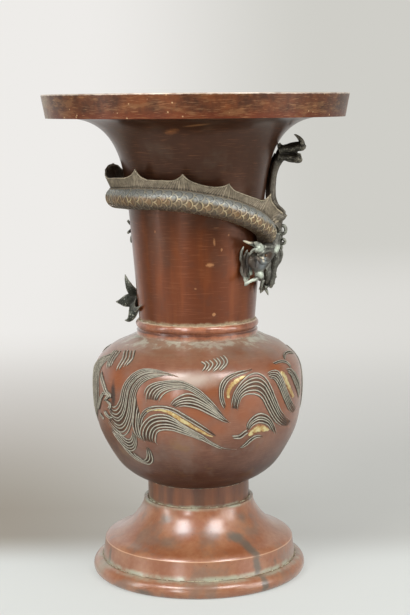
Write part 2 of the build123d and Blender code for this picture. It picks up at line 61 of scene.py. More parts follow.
# Levels and radii of the turned sections, from the frame
stem_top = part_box("stem_ring")[1].z
belly_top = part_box("neck_collar")[0].z
neck_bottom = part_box("neck_collar")[1].z
neck_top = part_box("rim_band")[0].z
rim_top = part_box("rim_band")[1].z
foot_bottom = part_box("foot")[0].z
foot_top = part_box("foot")[1].z
ring_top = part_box("foot_ring")[1].z
foot_edge = foot_bottom + 17.3 * mm
stem_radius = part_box("stem_ring")[1].x
neck_height = neck_top - neck_bottom
belly_height = belly_top - stem_top

# Shape of the neck: a taper, and a flare near the top
neck_base_radius = 54.4 * mm
neck_taper = 15.4 * mm
flare_height = 104 * mm
flare_reach = 52 * mm
flare_power = 4
flare_root = 0.41

# Dragon: rows of a turn from the front to the right, a share of the neck's height,
# and a share of the dragon's radius.
dragon_radius = 9.5 * mm
dragon_stand_off = 0.5 * mm
dragon_path_shares = (
    (69, 0.393, 0.90), (65.5, 0.433, 0.96), (60, 0.464, 1.0), (50, 0.499, 1.0), (39, 0.531, 1.0),
    (22.3, 0.571, 1.0), (6.2, 0.597, 1.0), (-8.6, 0.614, 1.0), (-25.3, 0.621, 1.0), (-43.8, 0.620, 1.0),
    (-66, 0.617, 1.0), (-94, 0.608, 1.0), (-116, 0.589, 0.98), (-136, 0.559, 0.95), (-154, 0.524, 0.92),
    (-171, 0.481, 0.89), (-186, 0.433, 0.86), (-200, 0.374, 0.82), (-210, 0.310, 0.78),
    (-213.5, 0.246, 0.73), (-210, 0.187, 0.68), (-201, 0.142, 0.63), (-189, 0.112, 0.57),
    (-175, 0.097, 0.52), (-161, 0.091, 0.46), (-148, 0.090, 0.40), (-135, 0.091, 0.35),
    (-122, 0.094, 0.30),
)
# Crest: rows of a place along the path, a height in millimetres, a lean in degrees,
# and how hollow its edge is.
crest_stations = (
    (0.9, 4, 40, 1), (1.3, 16.5, 33, 1), (2.2, 12.5, 20, 1), (3.0, 19.7, 12, 1), (3.75, 9, 12, 1),
    (4.75, 8, 12, 1), (5.25, 13.5, 12, 1), (6.05, 7.2, 12, 1), (7.07, 14.9, 12, 1), (7.7, 7.8, 12, 1),
    (8.25, 7.8, 12, 1), (8.95, 17.6, 11, 1), (9.6, 10, 20, 1), (10.3, 10.4, 26, 1), (10.6, 12.5, 26, 0),
    (10.85, 17.5, 22, 0), (11.1, 21.5, 17, 0), (11.4, 23.5, 13, 0), (11.7, 22, 11, 0), (12.0, 17, 10, 0),
    (12.5, 8.5, 10, 0), (13, 14.2, 15, 1), (14, 6.4, 12, 1), (15, 13.4, 12, 1), (16, 6, 12, 1),
    (17, 11.7, 12, 1), (18, 5.5, 12, 1), (19, 9.8, 12, 1), (20, 4.8, 12, 1), (21, 8.4, 12, 1),
    (22, 4, 12, 1), (23, 6.6, 12, 1), (24, 3.2, 12, 1), (25, 4.7, 12, 1), (26, 2.5, 12, 1),
    (27, 2.1, 12, 1),
)
path_steps = 12
merge_distance = 0.002 * mm

# Cast limbs: rows of a turn, a share of the neck's height, a stand-off and a radius in millimetres,
# and a second radius where the limb is thinner from the neck outwards.
head_shapes = (
    # skull, down to the nose
    ((77.7, 0.376, 12, 5), (64.5, 0.356, 13, 8, 7.5), (56.4, 0.329, 13.5, 8.5, 7.5),
     (52.2, 0.299, 13.5, 7.5, 6.5), (51.7, 0.275, 13.5, 6, 5.5), (52, 0.257, 13.5, 4.5, 4)),
    # muzzle, inner and outer side
    ((52.1, 0.334, 9, 3), (47.3, 0.319, 10, 5, 4.5), (48, 0.294, 11, 4.5, 4), (50.6, 0.278, 12, 3)),
    ((60, 0.309, 15, 4), (58.7, 0.285, 15.5, 5, 4.5), (55.6, 0.269, 15, 4)),
    # nose
    ((50.9, 0.263, 14, 3), (51, 0.245, 15, 4.4, 4), (53.7, 0.224, 14.5, 3), (55.6, 0.211, 13.5, 1.2)),
    # whiskers, one stiff and one along the neck
    ((53.3, 0.239, 15, 2.2), (47.6, 0.226, 15, 1.9), (42.4, 0.217, 14, 1.6), (39, 0.204, 12.5, 1.9),
     (38.3, 0.203, 12, 1.2)),
    ((40.5, 0.208, 11, 1.4), (43.5, 0.232, 5, 1.6, 1.4), (42, 0.262, 3, 1.9, 1.6),
     (42.8, 0.296, 2.2, 1.8, 1.6), (41.2, 0.330, 1.8, 1.7, 1.5), (42.4, 0.362, 1.4, 1.3, 1.2),
     (44.5, 0.382, 1.2, 0.6)),
    # locks that lie on the neck beside the cheek
    ((46, 0.208, 7, 1.2), (44.6, 0.240, 4.5, 1.8, 1.6), (45.4, 0.272, 3, 2, 1.7),
     (44, 0.306, 2.6, 1.9, 1.6), (44.8, 0.338, 3, 1.5, 1.4), (46.5, 0.366, 4, 0.6)),
    ((48.5, 0.222, 6, 1.3), (46.8, 0.254, 4, 2, 1.8), (47.6, 0.288, 4, 2.1, 1.8),
     (46.6, 0.322, 4.4, 1.9, 1.6), (47.5, 0.352, 5, 1.2)),
    ((50, 0.240, 7, 1.4), (49.4, 0.275, 5, 2.2, 2), (50, 0.312, 5, 2.2, 2), (50, 0.350, 6, 1.8)),
    # horns
    ((50, 0.381, 16, 2.6), (45.4, 0.392, 15, 2.3), (40.5, 0.402, 14, 1.7), (37.1, 0.411, 13, 1.2),
     (35, 0.417, 12, 0.5)),
    ((52.4, 0.377, 17, 2), (58.5, 0.376, 18, 2.1), (65.9, 0.368, 18.5, 1.9), (68.3, 0.350, 18.5, 1.6),
     (67.8, 0.338, 18, 0.9)),
    # ears, with a curl
    ((54.7, 0.369, 15, 2), (47.5, 0.385, 17, 3.2, 2.4), (43.4, 0.401, 17.5, 2.4, 1.8),
     (41.7, 0.406, 17, 0.8)),
    ((54.8, 0.366, 15, 2), (48, 0.371, 17.5, 3.2, 2.6), (44, 0.369, 18, 2.6, 2),
     (42, 0.370, 17, 1.8, 1.4), (40.2, 0.355, 15.5, 1.2, 1), (39.7, 0.344, 14.5, 0.5)),
    ((44.5, 0.385, 18, 1.5), (44.9, 0.382, 18.5, 2.6, 2.4), (46.7, 0.379, 18.5, 1.5)),
    # brow over the eye, and cheekbone under it
    ((63.5, 0.350, 18, 1.2), (55.7, 0.359, 19, 1.8, 1.5), (49.9, 0.358, 19, 1.9, 1.6),
     (46.4, 0.349, 18, 1.6, 1.4), (46.4, 0.334, 16.5, 0.8)),
    ((45.9, 0.338, 16.5, 1), (46.3, 0.323, 18.5, 2.2, 1.6), (50.1, 0.308, 19.5, 2, 1.5),
     (55.1, 0.306, 19.5, 1.4, 1.2), (60.1, 0.317, 18.5, 0.8)),
    # cheek and jaw
    ((74, 0.360, 15.2, 3), (74, 0.321, 16.5, 4.2), (74, 0.285, 16.1, 4.2), (74, 0.252, 14.8, 3.6),
     (74, 0.220, 15.3, 3.2), (74, 0.187, 14.8, 2.6), (74, 0.161, 14.1, 1.3)),
    ((75.2, 0.276, 10, 5), (72.9, 0.241, 10.5, 5, 4.5), (74.4, 0.211, 10.5, 4.4, 4),
     (76.7, 0.184, 10, 3.4, 3), (79.2, 0.162, 9.5, 1.8)),
    # locks of the beard
    ((69.6, 0.204, 8, 2), (68.6, 0.179, 7, 1.8, 1.6), (71.1, 0.151, 6, 1.4, 1.3),
     (72.2, 0.134, 5.5, 0.5)),
    ((74, 0.172, 9.8, 1.8), (74, 0.157, 9.6, 1.6), (74, 0.143, 11, 1.3), (74, 0.123, 12.5, 0.4)),
    # small teeth on the cheek
    ((74, 0.229, 16.2, 1.6), (74, 0.220, 18.1, 1.2), (74, 0.212, 19, 0.4)),
    ((74, 0.191, 15.8, 1.5), (74, 0.185, 17.2, 1), (74, 0.182, 18.1, 0.3)),
    ((74, 0.267, 16.3, 1.6), (74, 0.252, 17.9, 1.1), (74, 0.240, 18, 0.4)),
)
eye_places = ((52.5, 0.337, 19.3), (50, 0.352, 8.5))
mane_shapes = (
    # two curled locks
    ((74, 0.440, 18, 1.7), (74, 0.432, 19.6, 1.7), (74, 0.430, 21.6, 1.7), (74, 0.436, 23.3, 1.7),
     (74, 0.447, 24, 1.7), (74, 0.460, 23.6, 1.7), (74, 0.469, 22.1, 1.7), (74, 0.471, 20.1, 1.7),
     (74, 0.466, 18.4, 1.7), (74, 0.456, 17.5, 0.8)),
    ((74, 0.383, 21.7, 1.5), (74, 0.382, 23.1, 1.5), (74, 0.388, 24.1, 1.5), (74, 0.396, 24.1, 1.5),
     (74, 0.402, 23.2, 1.5), (74, 0.403, 21.8, 1.5), (74, 0.398, 20.8, 0.7), (74, 0.390, 20.8, 0.7)),
    # straight locks behind the cheek
    ((70, 0.474, 16.7, 1.2), (70, 0.446, 16.1, 1.8), (70, 0.417, 15.8, 2), (70, 0.388, 17, 2),
     (70, 0.364, 18.7, 1.2)),
    ((76, 0.428, 17.1, 1), (76, 0.406, 18.4, 1.7), (76, 0.381, 18.5, 1.9), (76, 0.360, 20.8, 1.7),
     (76, 0.341, 19.4, 0.8)),
    ((76, 0.363, 18.1, 1.6), (76, 0.338, 20.4, 2.4), (76, 0.309, 20.2, 2.4), (76, 0.280, 18.3, 1.8),
     (76, 0.265, 16.8, 0.7)),
    ((74, 0.343, 16.2, 1.5), (74, 0.314, 18, 2), (74, 0.285, 17.8, 2), (74, 0.256, 16.5, 1.6),
     (74, 0.234, 17.2, 0.6)),
    ((80, 0.461, 16.4, 2.5), (80, 0.429, 17.2, 3), (80, 0.389, 17.1, 3.2), (80, 0.349, 17.4, 3),
     (80, 0.309, 16.7, 2.6)),
    # nape
    ((68, 0.440, 17.1, 4.5), (68, 0.404, 16.9, 5), (66, 0.373, 17.7, 5.5), (64, 0.349, 16.3, 5.5)),
)
foreleg_shapes = (
    # inner side of the leg, close to the neck
    ((90, 0.822, 1.2, 0.6), (90, 0.80, 1.8, 1.6), (90, 0.77, 2.3, 2.4), (90, 0.73, 2.6, 2.8),
     (90, 0.69, 2.7, 2.9), (89, 0.65, 2.8, 2.9), (87, 0.61, 3, 2.6), (85, 0.575, 4, 1.8)),
    # shoulder
    ((66, 0.530, 6, 2.5), (68, 0.525, 10.2, 3.8), (70, 0.519, 15, 4.6), (72, 0.516, 18.7, 4.6),
     (74, 0.522, 21.3, 3.2), (75, 0.527, 22.3, 1.2)),
    ((78, 0.586, 8.7, 2.2), (78, 0.563, 13.1, 2.4), (77, 0.545, 17.7, 2.3), (76, 0.530, 20.9, 2)),
    # paw: two fingers with their claws, a thumb and a spur
    ((84, 0.849, 3.7, 2.2), (84, 0.860, 1.7, 1.5), (84, 0.872, -0.1, 0.4)),
    ((84, 0.843, 6.3, 2.2), (84, 0.855, 6.9, 1.6), (84, 0.862, 6.3, 0.6)),
    ((84, 0.832, 4.6, 3.2), (84, 0.839, 8.2, 3.2), (84, 0.841, 13.4, 3.1), (84, 0.845, 18.3, 3.1),
     (84, 0.848, 22.3, 3.3), (84, 0.846, 25.4, 2.6), (84, 0.845, 27.4, 0.9)),
    ((84, 0.851, 22.5, 2.2), (84, 0.868, 22.2, 2.2), (84, 0.885, 19.8, 1.9), (84, 0.899, 15.1, 1.3),
     (84, 0.914, 9.2, 0.4)),
    ((84, 0.804, 5.4, 3.2), (84, 0.801, 9.9, 3), (84, 0.800, 14.7, 3), (84, 0.798, 19.6, 3.4),
     (84, 0.792, 23.6, 4), (84, 0.790, 26.4, 3), (84, 0.798, 27.2, 1.6)),
    ((84, 0.812, 21.8, 1.4), (84, 0.817, 23.6, 1.1), (84, 0.815, 26.5, 0.3)),
)
hindleg_shapes = (
    # leg and paw, behind the neck's left edge
    ((-138, 0.537, 9.5, 7), (-131, 0.495, 8.5, 5.6), (-124, 0.466, 6, 3.9), (-118, 0.452, 4.6, 3.2),
     (-113.5, 0.442, 3.6, 3), (-110.5, 0.436, 3, 1.8)),
    # claws
    ((-114, 0.450, 3.6, 2.2), (-107, 0.474, 4.6, 1.5), (-101, 0.484, 3.6, 1.1), (-97, 0.492, 1.8, 0.4)),
    ((-113, 0.437, 3.6, 2.2), (-106, 0.428, 5, 1.5), (-100, 0.425, 4.3, 1.1), (-96, 0.430, 2.4, 0.4)),
    ((-114, 0.430, 3.6, 2), (-107, 0.396, 3.8, 1.4), (-101, 0.380, 2.6, 0.9), (-98, 0.374, 1.2, 0.4)),
)


def outward(turn):
    """Direction away from the vase's axis at a turn from the front."""
    return Vector((sin(radians(turn)), -cos(radians(turn)), 0))


def neck_level(share):
    return neck_bottom + neck_height * share


def belly_level(share):
    return stem_top + belly_height * share


def neck_radius(height):
    rise = (height - neck_bottom) / neck_height
    flare = min(max(1 - (neck_top - height) / flare_height, 0), 1)
    return neck_base_radius + neck_taper * rise + flare_reach * (1 - (1 - flare**flare_power) ** flare_root)


def on_neck(turn, share, stand):
    """Point that stands off the neck at a turn and a share of the neck's height."""
    height = neck_level(share)
    point = outward(turn) * (neck_radius(height) + stand)
    point.z = height
    return point


def smoothed(rows, steps):
    """The rows with more in between, on a smooth curve through all of them."""
    last = len(rows) - 1
    result = []
    for index in range(last):
        before, start, end, after = (rows[min(max(index + shift, 0), last)] for shift in (-1, 0, 1, 2))
        for step in range(steps):
            t = step / steps
            result.append(tuple(
                a * (1 + 2 * t) * (1 - t) ** 2 + b * t**2 * (3 - 2 * t)
                + (b - p) / 2 * t * (1 - t) ** 2 + (n - a) / 2 * t**2 * (t - 1)
                for p, a, b, n in zip(before, start, end, after)
            ))
    result.append(tuple(rows[last]))
    return result


def headings(points):
    """Direction of travel at each point of a line."""
    last = len(points) - 1
    return [(points[min(k + 1, last)] - points[max(k - 1, 0)]).normalized() for k in range(last + 1)]


def fade(value, low, high):
    """Zero below low, one above high, and smooth between."""
    t = min(max((value - low) / (high - low), 0), 1)
    return t * t * (3 - 2 * t)


# Meshes


def sheet(columns, rows, place, notes=("crown",)):
    """Shape from a grid: place gives the point and the notes for two shares; seams and poles are merged."""
    bm = bmesh.new()
    bmesh.ops.create_grid(bm, x_segments=columns, y_segments=rows, size=1)
    layers = [bm.verts.layers.float.new(note) for note in notes]
    for vert in bm.verts:
        vert.co, *values = place((vert.co.x + 1) / 2, (vert.co.y + 1) / 2)
        for layer, value in zip(layers, values):
            vert[layer] = value
    bmesh.ops.remove_doubles(bm, verts=bm.verts, dist=merge_distance)
    bmesh.ops.recalc_face_normals(bm, faces=bm.faces)
    return bm


def tube(rings, sides):
    """Closed tube through rings of a centre and two half-axes; its ends draw in to points."""
    nothing = Vector()
    rings = [(rings[0][0], nothing, nothing), *rings, (rings[-1][0], nothing, nothing)]
    last = len(rings) - 1

    def place(u, v):
        centre, side, up = rings[round(u * last)]
        # The crown note runs from 1 on the upper side to -3 underneath; on the wave strands the finish
        # paints the upper side pale as a highlight and the flanks dark as shade.
        return centre + side * cos(tau * v) + up * sin(tau * v), 2 * sin(tau * v) - 1

    return sheet(last, sides, place)


def limb(rows):
    """Closed limb on the neck through the rows of a table."""
    steps, sides, steep = 6, 14, 0.7
    rows = smoothed([(*row, row[-1])[:5] for row in rows], steps)
    points = [on_neck(row[0], row[1], row[2] * mm) for row in rows]
    thin_side = outward(rows[0][0])
    if abs((points[-1] - points[0]).normalized().dot(thin_side)) > steep:
        thin_side = Vector((0, 0, 1))
    rings = []
    for row, point, along in zip(rows, points, headings(points)):
        side = thin_side.cross(along).normalized()
        rings.append((point, side * row[3] * mm, along.cross(side) * row[4] * mm))
    return tube(rings, sides)


def packed(node):
    """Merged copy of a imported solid."""
    bm = bmesh.new()
    bm.from_mesh(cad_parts[node].data)
    bmesh.ops.remove_doubles(bm, verts=bm.verts, dist=merge_distance)
    return bm


def cobbles(size, depth, rough):
    """Relief of rounded scales of a size with grooves between them, on a rough skin."""
    groove_width = 0.35
    rough_size = size * 2.2

    def relief(place):
        near, far = noise.voronoi(place / size)[0][:2]
        groove = 1 - fade(far - near, 0.0, groove_width)
        return rough * noise.noise(place / rough_size) - depth * groove

    return relief


class Casting:
    """Shapes that are collected into one piece."""

    def __init__(self, name):
        self.name = name
        self.bm = bmesh.new()

    def add(self, shape):
        """Takes a shape into the piece."""
        mesh = bpy.data.meshes.new(self.name)
        shape.to_mesh(mesh)
        shape.free()
        self.bm.from_mesh(mesh)
        bpy.data.meshes.remove(mesh)

    def melt(self, grain, relief):
        """Melts the shapes into one skin, tools it, and notes how far each point stands out."""
        reach = 0.12 * mm
        levelling = 8
        raw = bpy.data.objects.new(self.name, bpy.data.meshes.new(self.name))
        self.bm.to_mesh(raw.data)
        bpy.context.scene.collection.objects.link(raw)
        remesh = raw.modifiers.new("melt", "REMESH")
        remesh.mode = "VOXEL"
        remesh.voxel_size = grain
        skin = bpy.data.meshes.new_from_object(raw.evaluated_get(bpy.context.evaluated_depsgraph_get()))
        self.bm.clear()
        self.bm.from_mesh(skin)
        bpy.data.meshes.remove(skin)
        bpy.data.meshes.remove(raw.data)
        bm = self.bm
        crown = bm.verts.layers.float.new("crown")
        axes = {"use_axis_x": True, "use_axis_y": True, "use_axis_z": True}
        bmesh.ops.smooth_vert(bm, verts=bm.verts, factor=0.5, **axes)
        bm.normal_update()
        for vert in bm.verts:
            vert.co += vert.normal * relief(vert.co)
        bm.normal_update()
        places = [(vert.co.copy(), vert.normal.copy()) for vert in bm.verts]
        for _ in range(levelling):
            bmesh.ops.smooth_vert(bm, verts=bm.verts, factor=0.5, **axes)
        for vert, (place, normal) in zip(bm.verts, places):
            vert[crown] = min(max((place - vert.co).dot(normal) / reach, -1), 1)
            vert.co = place

    def pour(self, material, slot, replaced=(), smooth=True):
        """Makes the object, on the vase's body."""
        mesh = bpy.data.meshes.new(self.name)
        self.bm.to_mesh(mesh)
        self.bm.free()
        return settle(self.name, mesh, material, replaced, smooth)


def settle(name, mesh, material, replaced=(), smooth=True):
    """Puts a mesh in the scene as a piece of the vase."""
    mesh.polygons.foreach_set("use_smooth", [smooth] * len(mesh.polygons))
    mesh.materials.append(material)
    piece = bpy.data.objects.new(name, mesh)
    bpy.context.scene.collection.objects.link(piece)
    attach(piece, "root")
    if replaced:
        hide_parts(*replaced)
    return piece


class Turned:
    """Outer outline of a turned section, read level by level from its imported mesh."""

    levels = 240

    def __init__(self, node):
        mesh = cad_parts[node].data
        tree = BVHTree.FromPolygons([v.co for v in mesh.vertices], [p.vertices for p in mesh.polygons])
        low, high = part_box(node)
        self.low = low.z
        self.step = (high.z - low.z) / self.levels
        self.radii = []
        inset = 0.1 * mm
        outside = high.x + 10 * mm
        for index in range(self.levels + 1):
            height = min(max(low.z + index * self.step, low.z + inset), high.z - inset)
            hit = tree.ray_cast(Vector((outside, 0, height)), Vector((-1, 0, 0)))[0]
            self.radii.append(hit.x)

    def radius(self, height):
        place = min(max((height - self.low) / self.step, 0), self.levels - 1e-6)
        index = int(place)
        return self.radii[index] + (self.radii[index + 1] - self.radii[index]) * (place - index)

    def normal(self, turn, height):
        slope = (self.radius(height + self.step) - self.radius(height - self.step)) / (2 * self.step)
        direction = outward(turn)
        direction.z = -slope
        return direction.normalized()

    def point(self, turn, height, lift=0.0):
        """Point on the surface, or lifted off it."""
        place = outward(turn) * self.radius(height)
        place.z = height
        return place + self.normal(turn, height) * lift


class Coil:
    """The dragon's body as a path with a frame at every length."""

    def __init__(self):
        self.rows = smoothed(dragon_path_shares, path_steps)
        self.points = [on_neck(r[0], r[1], r[2] * dragon_radius + dragon_stand_off) for r in self.rows]
        self.ways = headings(self.points)
        self.marks = [0.0]
        for first, second in zip(self.points, self.points[1:]):
            self.marks.append(self.marks[-1] + (second - first).length)
        self.length = self.marks[-1]
        self.stations = [(self.marks[round(row * path_steps)], *rest) for row, *rest in crest_stations]
        self.peaks = [
            place[0]
            for before, place, after in zip(self.stations, self.stations[1:], self.stations[2:])
            if place[1] > max(before[1], after[1])
        ]

    def at(self, length):
        """Centre, way, outward, crest direction and thickness at a length from the nape."""
        place = min(max(bisect_right(self.marks, length), 1), len(self.marks) - 1)
        share = (length - self.marks[place - 1]) / (self.marks[place] - self.marks[place - 1])
        turn, _, thick = (a + (b - a) * share for a, b in zip(self.rows[place - 1], self.rows[place]))
        centre = self.points[place - 1].lerp(self.points[place], share)
        way = self.ways[place - 1].lerp(self.ways[place], share).normalized()
        out = outward(turn)
        up = way.cross(out).normalized()
        return centre, way, up.cross(way).normalized(), up, thick

    def surface(self, length, angle, lift=0.0):
        """Point on the body at an angle from the crest towards the outside."""
        centre, _, out, up, thick = self.at(length)
        away = up * cos(radians(angle)) + out * sin(radians(angle))
        return centre + away * (thick * dragon_radius + lift)

    def crest(self, length):
        """Height and lean of the crest: hollow curves between small sharp peaks."""
        lengths = [station[0] for station in self.stations]
        place = min(max(bisect_right(lengths, length), 1), len(lengths) - 1)
        first, second = self.stations[place - 1], self.stations[place]
        share = min(max((length - first[0]) / (second[0] - first[0]), 0), 1)
        low, high = sorted((first[1], second[1]))
        climb = share if second[1] > first[1] else 1 - share
        curve = climb + (0.6 * climb**2.2 + 0.4 * climb**5 - climb) * second[3]
        height = low + (high - low) * curve
        return height * mm, radians(first[2] + (second[2] - first[2]) * fade(share, 0, 1))


# Materials


class Term:
    """A socket that takes part in Python sums, which add Math nodes."""

    def __init__(self, nodes, socket):
        self.nodes = nodes
        self.socket = socket

    def __add__(self, other):
        return self.nodes.math("ADD", self, other)

    def __sub__(self, other):
        return self.nodes.math("SUBTRACT", self, other)

    def __rsub__(self, other):
        return self.nodes.math("SUBTRACT", other, self)

    def __mul__(self, other):
        return self.nodes.math("MULTIPLY", self, other)

    def __truediv__(self, other):
        return self.nodes.math("DIVIDE", self, other)

    def __rtruediv__(self, other):
        return self.nodes.math("DIVIDE", other, self)

    def __pow__(self, other):
        return self.nodes.math("POWER", self, other)

    __radd__ = __add__
    __rmul__ = __mul__


class Nodes:
    """A node tree that is built with sums and shares."""

    def __init__(self, tree):
        self.tree = tree

    def node(self, kind, settings=None, values=None, output=0):
        """Adds a node: its settings first, then the values or links of its sockets."""
        made = self.tree.nodes.new(kind)
        for key, value in (settings or {}).items():
            setattr(made, key, value)
        for key, value in (values or {}).items():
            self.feed(made.inputs[key], value)
        return Term(self, made.outputs[output])

    def feed(self, socket, value):
        if isinstance(value, Term):
            self.tree.links.new(value.socket, socket)
        elif hasattr(value, "__len__") and len(value) == 3 and len(socket.default_value) == 4:
            socket.default_value = (*value, 1)
        else:
            socket.default_value = value

    def math(self, operation, *terms, clamp=False):
        return self.node(
            "ShaderNodeMath", {"operation": operation, "use_clamp": clamp}, dict(enumerate(terms))
        )

    def most(self, first, second):
        return self.math("MAXIMUM", first, second)

    def ease(self, value, low, high):
        """Zero below low, one above high, smooth between; it falls where low is the larger."""
        return self.node(
            "ShaderNodeMapRange",
            {"interpolation_type": "SMOOTHSTEP"},
            {"Value": value, "From Min": low, "From Max": high},
        )

    def band(self, value, middle, width):
        """One at the middle and zero beyond the width, on both sides."""
        return 1 - self.ease(self.math("ABSOLUTE", value - middle), 0, width)

    def blend(self, share, first, second):
        """Colour between two, by a share."""
        return self.node(
            "ShaderNodeMix", {"data_type": "RGBA"}, {0: share, 6: first, 7: second}, output=2
        )

    def seen(self):
        """One for what the lens sees, straight or by a gloss, and zero for the light on things."""
        camera, glossy, through = (
            self.node("ShaderNodeLightPath", output=f"Is {kind} Ray")
            for kind in ("Camera", "Glossy", "Transmission")
        )
        return self.most(self.most(camera, glossy), through)


class Finish(Nodes):
    """A procedural material, whose colour is laid on coat by coat."""

    def __init__(self, name):
        self.material = bpy.data.materials.new(name)
        self.material.use_nodes = True
        super().__init__(self.material.node_tree)
        self.shader = self.tree.nodes["Principled BSDF"]
        self.color = None
        self.place = self.node("ShaderNodeTexCoord", output="Object")
        self.x, self.y, self.height = (
            self.node("ShaderNodeSeparateXYZ", {}, {0: self.place}, axis) for axis in "XYZ"
        )
        self.radius = self.math("SQRT", self.x * self.x + self.y * self.y)
        self.turn = self.math("ARCTAN2", self.x, self.y * -1) * (180 / pi)
        self.crown = self.note("crown")

    def note(self, name):
        """What a mesh notes at each of its points."""
        return self.node("ShaderNodeAttribute", {"attribute_name": name}, output="Fac")

    def coat(self, share, color):
        """Lays a colour over the others, by a share."""
        self.color = self.blend(share, self.color, color)

    def tint(self, share, red, green, blue):
        """Lays over a colour that is given as it looks on a screen."""
        self.coat(share, linear(red, green, blue))

    def mottle(self, dark, light, size):
        """First coat: a cloudy colour between two tones, with finer clouds in it."""
        share = self.grain(size, 5) * 0.7 + self.grain(size / 6, 3) * 0.3
        self.color = self.blend(self.ease(share, 0.36, 0.66), dark, light)

    def grain(self, size, detail=4.0, rough=0.55, stretch=None):
        """Noise from 0 to 1 whose features are about a size in metres, narrowed by a stretch."""
        place = self.place
        if stretch:
            place = self.node("ShaderNodeMapping", {}, {"Vector": place, "Scale": stretch})
        return self.node(
            "ShaderNodeTexNoise", {},
            {"Vector": place, "Scale": 1 / size, "Detail": detail, "Roughness": rough},
        )

    def wander(self, reach, size, detail=4.0):
        """Noise round zero, half a reach to each side."""
        return (self.grain(size, detail) - 0.5) * reach

    def blotches(self, low, high, *grain):
        """Blotches where the noise is above high, fading until it is below low."""
        return self.ease(self.grain(*grain), low, high)

    def scratches(self, size, fine=40):
        """Fine worn lines that run round the section."""
        return self.blotches(0.60, 0.72, size, 2, 0.4, (1, 1, fine))

    def dots(self, size, low, high):
        """Dots in the middle of cells of about a size in metres."""
        near = self.node("ShaderNodeTexVoronoi", {}, {"Vector": self.place, "Scale": 1 / size}, "Distance")
        return self.ease(near, low, high)

    def spot(self, turn, height, width, tall, ragged, tilt=0, sharp=0):
        """Patch at a turn and a height, with its half width and half height in millimetres."""
        across = (self.turn - turn) * (self.radius * (pi / 180))
        rise = self.height - height
        if tilt:
            across, rise = across * cos(tilt) + rise * sin(tilt), rise * cos(tilt) - across * sin(tilt)
        spread = self.math("SQRT", (across / (width * mm)) ** 2 + (rise / (tall * mm)) ** 2)
        spread = spread + self.wander(ragged, min(width, tall) * mm * 0.8)
        return self.ease(spread, 1.0, sharp)

    def done(self, rough, bumps, metal, wax=0.0, wax_rough=0.16, sheen=0.5):
        """Links the shader. Bumps are pairs of a height and how many millimetres one stands for."""
        inputs = self.shader.inputs
        self.feed(inputs["Base Color"], self.color)
        self.feed(inputs["Roughness"], rough)
        self.feed(inputs["Metallic"], metal)
        self.feed(inputs["Coat Weight"], wax)
        inputs["Coat Roughness"].default_value = wax_rough
        inputs["Specular IOR Level"].default_value = sheen
        below = {}
        for height, distance in bumps:
            values = {"Height": height, "Distance": distance * mm, "Strength": 1.0, **below}
            below = {"Normal": self.node("ShaderNodeBump", {}, values)}
        self.feed(inputs["Normal"], below["Normal"])
        return self.material


def linear(red, green, blue):
    """Linear colour of one that is given as it looks on a screen, from 11 to 255."""
    return tuple(((value / 255 + 0.055) / 1.055) ** 2.4 for value in (red, green, blue))


# Sizes and colours that a user would change


def color_property(name, description, *screen):
    """Property for a colour, given as it looks on a screen."""
    return FloatVectorProperty(
        name=name, description=description, subtype="COLOR", size=3, default=linear(*screen)
    )


def length_property(name, description, default):
    return FloatProperty(name=name, description=description, unit="LENGTH", default=default)


def angle_property(name, description, default):
    return FloatProperty(name=name, description=description, unit="ROTATION", default=radians(default))


class VASE_PG_patina(bpy.types.PropertyGroup):
    """Colours of the patina."""

    neck_dark: color_property("Neck, upper", "Brown of the upper neck", 70, 44, 30)
    neck_red: color_property("Neck, lower", "Red-brown of the lower neck", 101, 50, 22)
    belly_rose: color_property("Belly", "Red-brown of the belly", 116, 69, 46)
    belly_orange: color_property("Belly, recesses", "Orange-brown beside the waves", 132, 70, 29)
    foot_orange: color_property("Foot", "Orange-brown of the foot", 136, 81, 50)
    verdigris: color_property("Verdigris", "Pale green corrosion in the seams", 160, 164, 142)
    gilt: color_property("Gilt", "Gilding on the waves", 202, 188, 138)


class VASE_PG_relief(bpy.types.PropertyGroup):
    """Sizes of the cast and chased work."""

    scale_columns: IntProperty(
        name="Scale columns", description="Columns of scales round the dragon's body",
        default=7, min=5, max=16,
    )
    scale_pitch: length_property("Scale pitch", "From one scale to the next in its column", 8.2 * mm)
    scale_lift: length_property("Scale lift", "How far a scale's free edge stands off the body", 0.75 * mm)
    rib_pitch: length_property("Rib pitch", "Distance between the crest's ribs at its foot", 2.5 * mm)
    strand_rise: length_property("Strand rise", "Height of a wave's strands above the belly", 1.1 * mm)


class VASE_PG_studio(bpy.types.PropertyGroup):
    """Camera and backdrop."""

    distance: length_property("Distance", "Camera to the vase's axis", 1352 * mm)
    eye_height: length_property("Eye height", "Camera above the table", 441.5 * mm)
    offset: length_property("Offset", "Camera to the right of the axis", 7.5 * mm)
    pitch: angle_property("Pitch", "Camera tilt below the horizon", 8.02)
    roll: angle_property("Roll", "Camera turn about its own line of sight", 0.45)
    lens: FloatProperty(name="Lens", description="Focal length in millimetres", default=85, min=20, max=300)
    table: color_property("Table", "Colour of the table", 215, 217, 213)
    paper_left: color_property("Backdrop, left", "Colour of the backdrop at the left", 238, 236, 233)
    paper_right: color_property("Backdrop, right", "Colour of the backdrop at the right", 207, 206, 200)
    # Painted shade: the floor darkens towards the front.
    floor_front_shade: color_property("Floor, front", "Colour of the floor in front of the table", 120, 119, 116)
    shade_left: color_property("Shade, left", "Colour behind the table at the left", 160, 152, 140)
    shade_right: color_property("Shade, right", "Colour behind the table at the right", 194, 194, 189)


# Finishes of the turned sections


